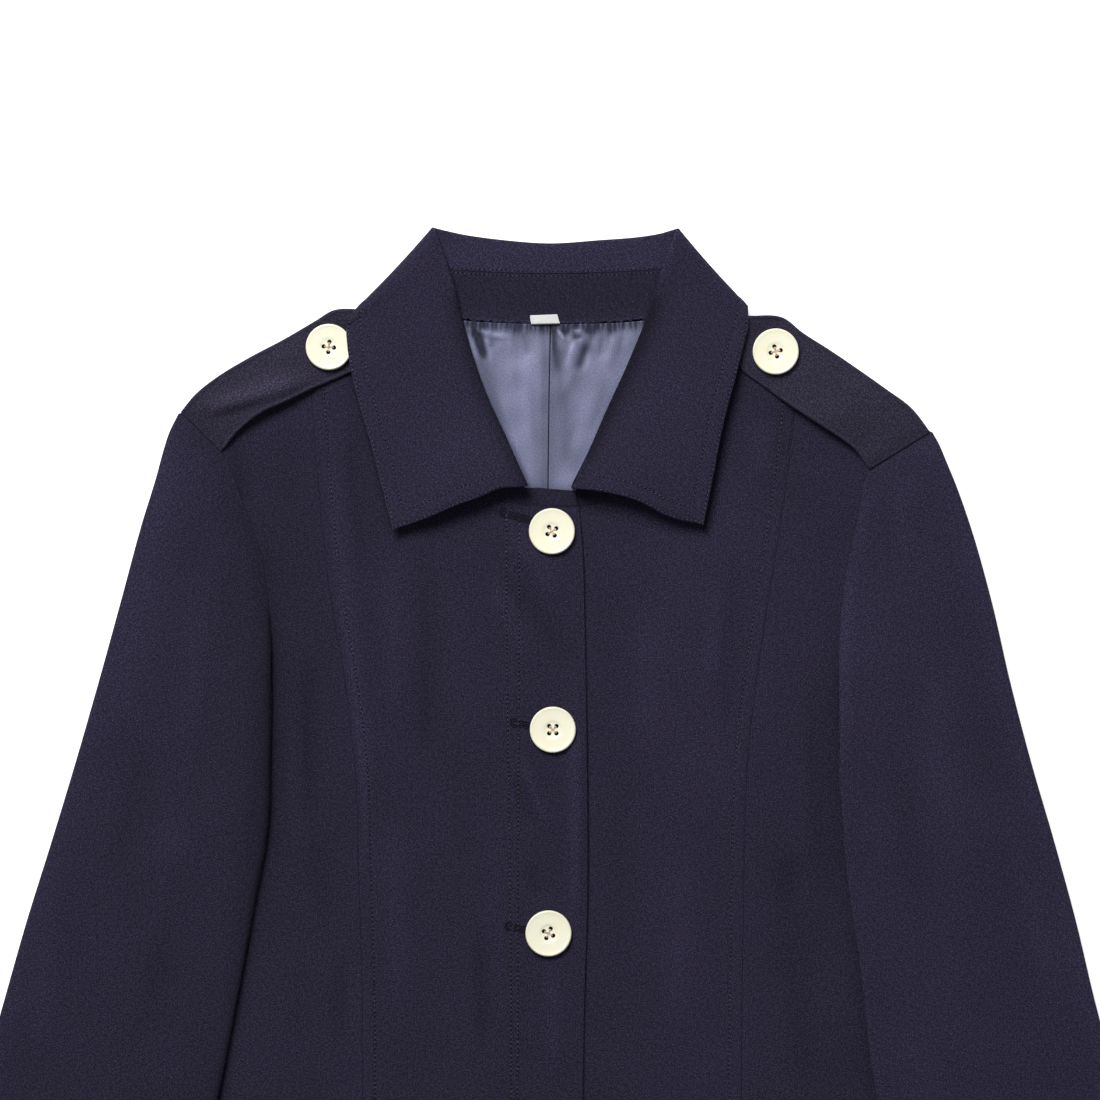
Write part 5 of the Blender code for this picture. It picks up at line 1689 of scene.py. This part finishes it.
def resin_finish():
    """Cast cream resin: slightly translucent, polished, with faint clouds and fine scratches."""
    made = Nodes("cream_resin")
    place = made.place()
    clouds = made.noise(place, 170, 3.0)
    scratches = made.noise(place, 2400, 3.0, 0.7)
    base = made.ramp(clouds, (0.3, RESIN_CREAM), (0.7, RESIN_PALE))
    x, y, z = made.add("ShaderNodeSeparateXYZ", {0: place}).outputs
    reach = made.math("SQRT", made.math("ADD", made.math("POWER", x, 2.0), made.math("POWER", y, 2.0)))
    # Painted shade: the walls of the holes are coloured dark
    near, low = made.math("LESS_THAN", reach, HOLE_SHADE_REACH[0]), made.math("LESS_THAN", z, HOLE_SHADE_REACH[1])
    base = made.tint(base, made.spread(made.math("MULTIPLY", near, low), 1.0, 0.04))
    made.set(Base_Color=base, Roughness=made.spread(scratches, 0.24, 0.38),
             Normal=made.bump(scratches, 0.000008))
    made.set(Coat_Weight=0.25, Coat_Roughness=0.15, Subsurface_Weight=0.12, Subsurface_Scale=0.0008)
    return made.material


def tape_finish():
    """A woven satin tape, blank, with fine ribs across it and faint clouds."""
    made = Nodes("white_tape")
    weave = made.weave()
    ribs = made.waves(weave, 900.0, "X")
    cloudy = made.noise(weave, 420)
    base = made.tint(TAPE_WHITE, made.spread(ribs, 0.93, 1.03), made.spread(cloudy, 0.85, 1.1))
    made.set(Base_Color=base, Roughness=made.spread(ribs, 0.5, 0.62), Normal=made.bump(ribs, 0.00004))
    made.set(Sheen_Weight=0.15)
    return made.material


def thread_finish(name, colour, sheen, sunk):
    """Spun thread: its plies show as fine slanting lines, and painted shade darkens it where it dips into
    its holes.
    """
    made = Nodes(name)
    place = made.place()
    share = made.add("ShaderNodeSeparateXYZ", {0: made.weave()}).outputs["X"]
    from_middle = made.math("ABSOLUTE", made.math("SUBTRACT", share, 0.5))
    # painted shade: the thread is darker where it dips into its holes
    dip = made.spread(from_middle, 1.0, sunk, 0.26, 0.29)
    plies = made.waves(place, 1800.0, "DIAGONAL")
    uneven = made.noise(place, 900, 2.0, 0.6)
    base = made.tint(colour, made.spread(plies, 0.8, 1.15), made.spread(uneven, 0.4, 1.7, 0.3, 0.7), dip)
    made.set(Base_Color=base, Roughness=made.spread(plies, 0.55, 0.75),
             Normal=made.bump(plies, 0.00005, 0.6))
    made.set(Sheen_Weight=sheen, Specular_IOR_Level=0.15)
    return made.material


def floor_finish():
    """A seamless white sweep, lit from all round and a little from within."""
    made = Nodes("white_sweep")
    grain = made.noise(made.place(), 30, 4.0, 0.6)
    made.set(Base_Color=made.tint(FLOOR_WHITE, made.spread(grain, 0.99, 1.01)), Roughness=0.7)
    made.set(Emission_Color=(1, 1, 1, 1), Emission_Strength=0.6)
    return made.material


# Floor, light and camera

CAMERA_PLACE = (-0.001, 0.172, 2.5)
CAMERA_LENS = 154.25
LIGHT_TARGET = (0.0, 0.17, 0.0)
WARM_WHITE, COOL_WHITE = (1.0, 0.99, 0.97), (0.97, 0.98, 1.0)
# Place, size, watts and colour
KEY_LIGHT = ((-0.70, 1.73, 2.04), 1.4, 79.0, WARM_WHITE)
FILL_LIGHT = ((1.1, -1.2, 2.4), 2.6, 6.0, COOL_WHITE)
WORLD_STRENGTH = 0.17


def make_floor():
    """One plain pale sheet that the jacket lies on."""
    shape = bmesh.new()
    bmesh.ops.create_grid(shape, x_segments=8, y_segments=8, size=4.0)
    bmesh.ops.translate(shape, verts=shape.verts, vec=(0, 0, -0.0002))
    floor = added("floor", mesh_of("floor", shape))
    floor.data.materials.append(floor_finish())


def make_light(name, place, size, watts, colour):
    light = bpy.data.lights.new(name, "AREA")
    light.shape = "DISK"
    light.size = size
    light.energy = watts
    light.color = colour
    made = added(name, light)
    made.location = place
    made.rotation_euler = (Vector(LIGHT_TARGET) - Vector(place)).to_track_quat("-Z", "Y").to_euler()


def make_studio():
    make_light("key", *KEY_LIGHT)
    make_light("fill", *FILL_LIGHT)
    world = bpy.data.worlds.new("studio")
    world.use_nodes = True
    background = world.node_tree.nodes["Background"]
    background.inputs["Color"].default_value = (*COOL_WHITE, 1)
    background.inputs["Strength"].default_value = WORLD_STRENGTH
    bpy.context.scene.world = world
    bpy.context.scene.view_settings.view_transform = "Standard"


def make_camera():
    camera = bpy.data.cameras.new("camera")
    camera.lens = CAMERA_LENS
    camera.sensor_width = 36.0
    camera.clip_end = 50.0
    made = added("camera", camera)
    made.location = CAMERA_PLACE
    bpy.context.scene.camera = made


# The jacket

# Each finish with its slot
TWILL = twill_finish("navy_twill", NAVY), "navy_twill"
# A lighter copy of the twill: painted light on the straps
TWILL_STRAP_LIT = twill_finish("navy_twill_strap_lit", STRAP_NAVY_LIT), "navy_twill"
SATIN = satin_finish(), "blue_satin"
RESIN = resin_finish(), "cream_resin"
TAPE = tape_finish(), "white_tape"
NAVY_THREAD = thread_finish("navy_thread", (0.070, 0.064, 0.100), 0.0, 0.02), "navy_twill"
HOLE_THREAD = thread_finish("navy_twist", (0.014, 0.012, 0.026), 0.0, 0.3), "navy_twill"
BUTTON_THREAD = thread_finish("cream_thread", (0.66, 0.52, 0.42), 0.2, 0.8), "cream_resin"

# How far each button is turned, in degrees, and where its solid's lower face lies
BUTTON_TURNS = {
    "button_1": -12.0, "button_2": 0.0, "button_3": 20.0, "button_4": -6.0, "button_5": 14.0,
    "strap_button_right": 38.0, "strap_button_left": -30.0,
}
BUTTON_PLACES = {}
for button in BUTTON_TURNS:
    low, high = (np.array(corner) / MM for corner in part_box(button))
    BUTTON_PLACES[button] = np.array([*((low + high) / 2)[:2], low[2]])

fronts = {side: (make_front_side(side), make_front_center(side)) for side in SIDES}
backs = [make_back(side) for side in SIDES]
sleeves = {side: make_top_sleeve(side) for side in SIDES}
under_sleeves = [make_under_sleeve(side) for side in SIDES]
fall, fall_grid, fall_to_edge = make_fall()
stand, stand_grid = make_stand()
straps = [make_strap(side) for side in SIDES]
linings = [make_lining(side) for side in SIDES]
label = make_label()

button_mesh = turned_button()
for button, turn in BUTTON_TURNS.items():
    make_button(button, button_mesh, turn)

with_stitches = {}
for side, seams in SEAMS.items():
    turn = TURN[side]
    side_panel, center = fronts[side]
    side_x, seam_x, edge_x = (seams[name][-1][0] for name in ("side", "princess", "edge"))
    lines = [aside(smooth(seams["princess"]), turn * TOPSTITCH)[2:-1]]
    if side == "right":
        lines += [smooth(PLACKET_OUTER), smooth(PLACKET_INNER)]
    lines.append(hem_line(seam_x + turn, edge_x - turn))
    cuff = hem_line(at_hem(seams["sleeve_outer"]), at_hem(seams["sleeve_fold"]), 3.0)
    with_stitches[center] = [stitched(f"stitching_front_{side}_center", center, lines)]
    with_stitches[side_panel] = [
        stitched(f"stitching_front_{side}_side", side_panel, [hem_line(side_x + turn * 6, seam_x)])
    ]
    with_stitches[sleeves[side]] = [stitched(f"stitching_cuff_{side}", sleeves[side], [cuff])]

leaf_lines = [
    inset_line(fall_grid, fall_to_edge, inset, end)
    for end in SIDES for inset in (COLLAR_EDGE_STITCH, COLLAR_INNER_STITCH)
]
leaf_lines.append(back_line(fall_grid))
with_stitches[fall] = [stitched("stitching_collar_fall", fall, leaf_lines, *COLLAR_STITCHES)]
stand_lines = [back_line(stand_grid[:, ::-1])]
with_stitches[stand] = [stitched("stitching_collar_stand", stand, stand_lines, *COLLAR_STITCHES)]
with_stitches[fronts["right"][1]].append(make_buttonholes(fronts["right"][1]))

LEAST_AREA = 0.31


def declare(piece):
    """Reads the size of a piece's cut and bounds its area; the result is not kept."""
    width, length, area = piece["cut"]
    area = max(LEAST_AREA * width * length, min(area, width * length))


for side in SIDES:
    for piece in fronts[side]:
        declare(piece)
    declare(sleeves[side])
for piece in backs:
    declare(piece)
for piece in under_sleeves:
    declare(piece)
declare(fall)
declare(stand)
for piece, side in zip(straps, SIDES):
    declare(piece)
for piece in linings:
    declare(piece)
declare(label)

make_floor()
make_studio()
make_camera()
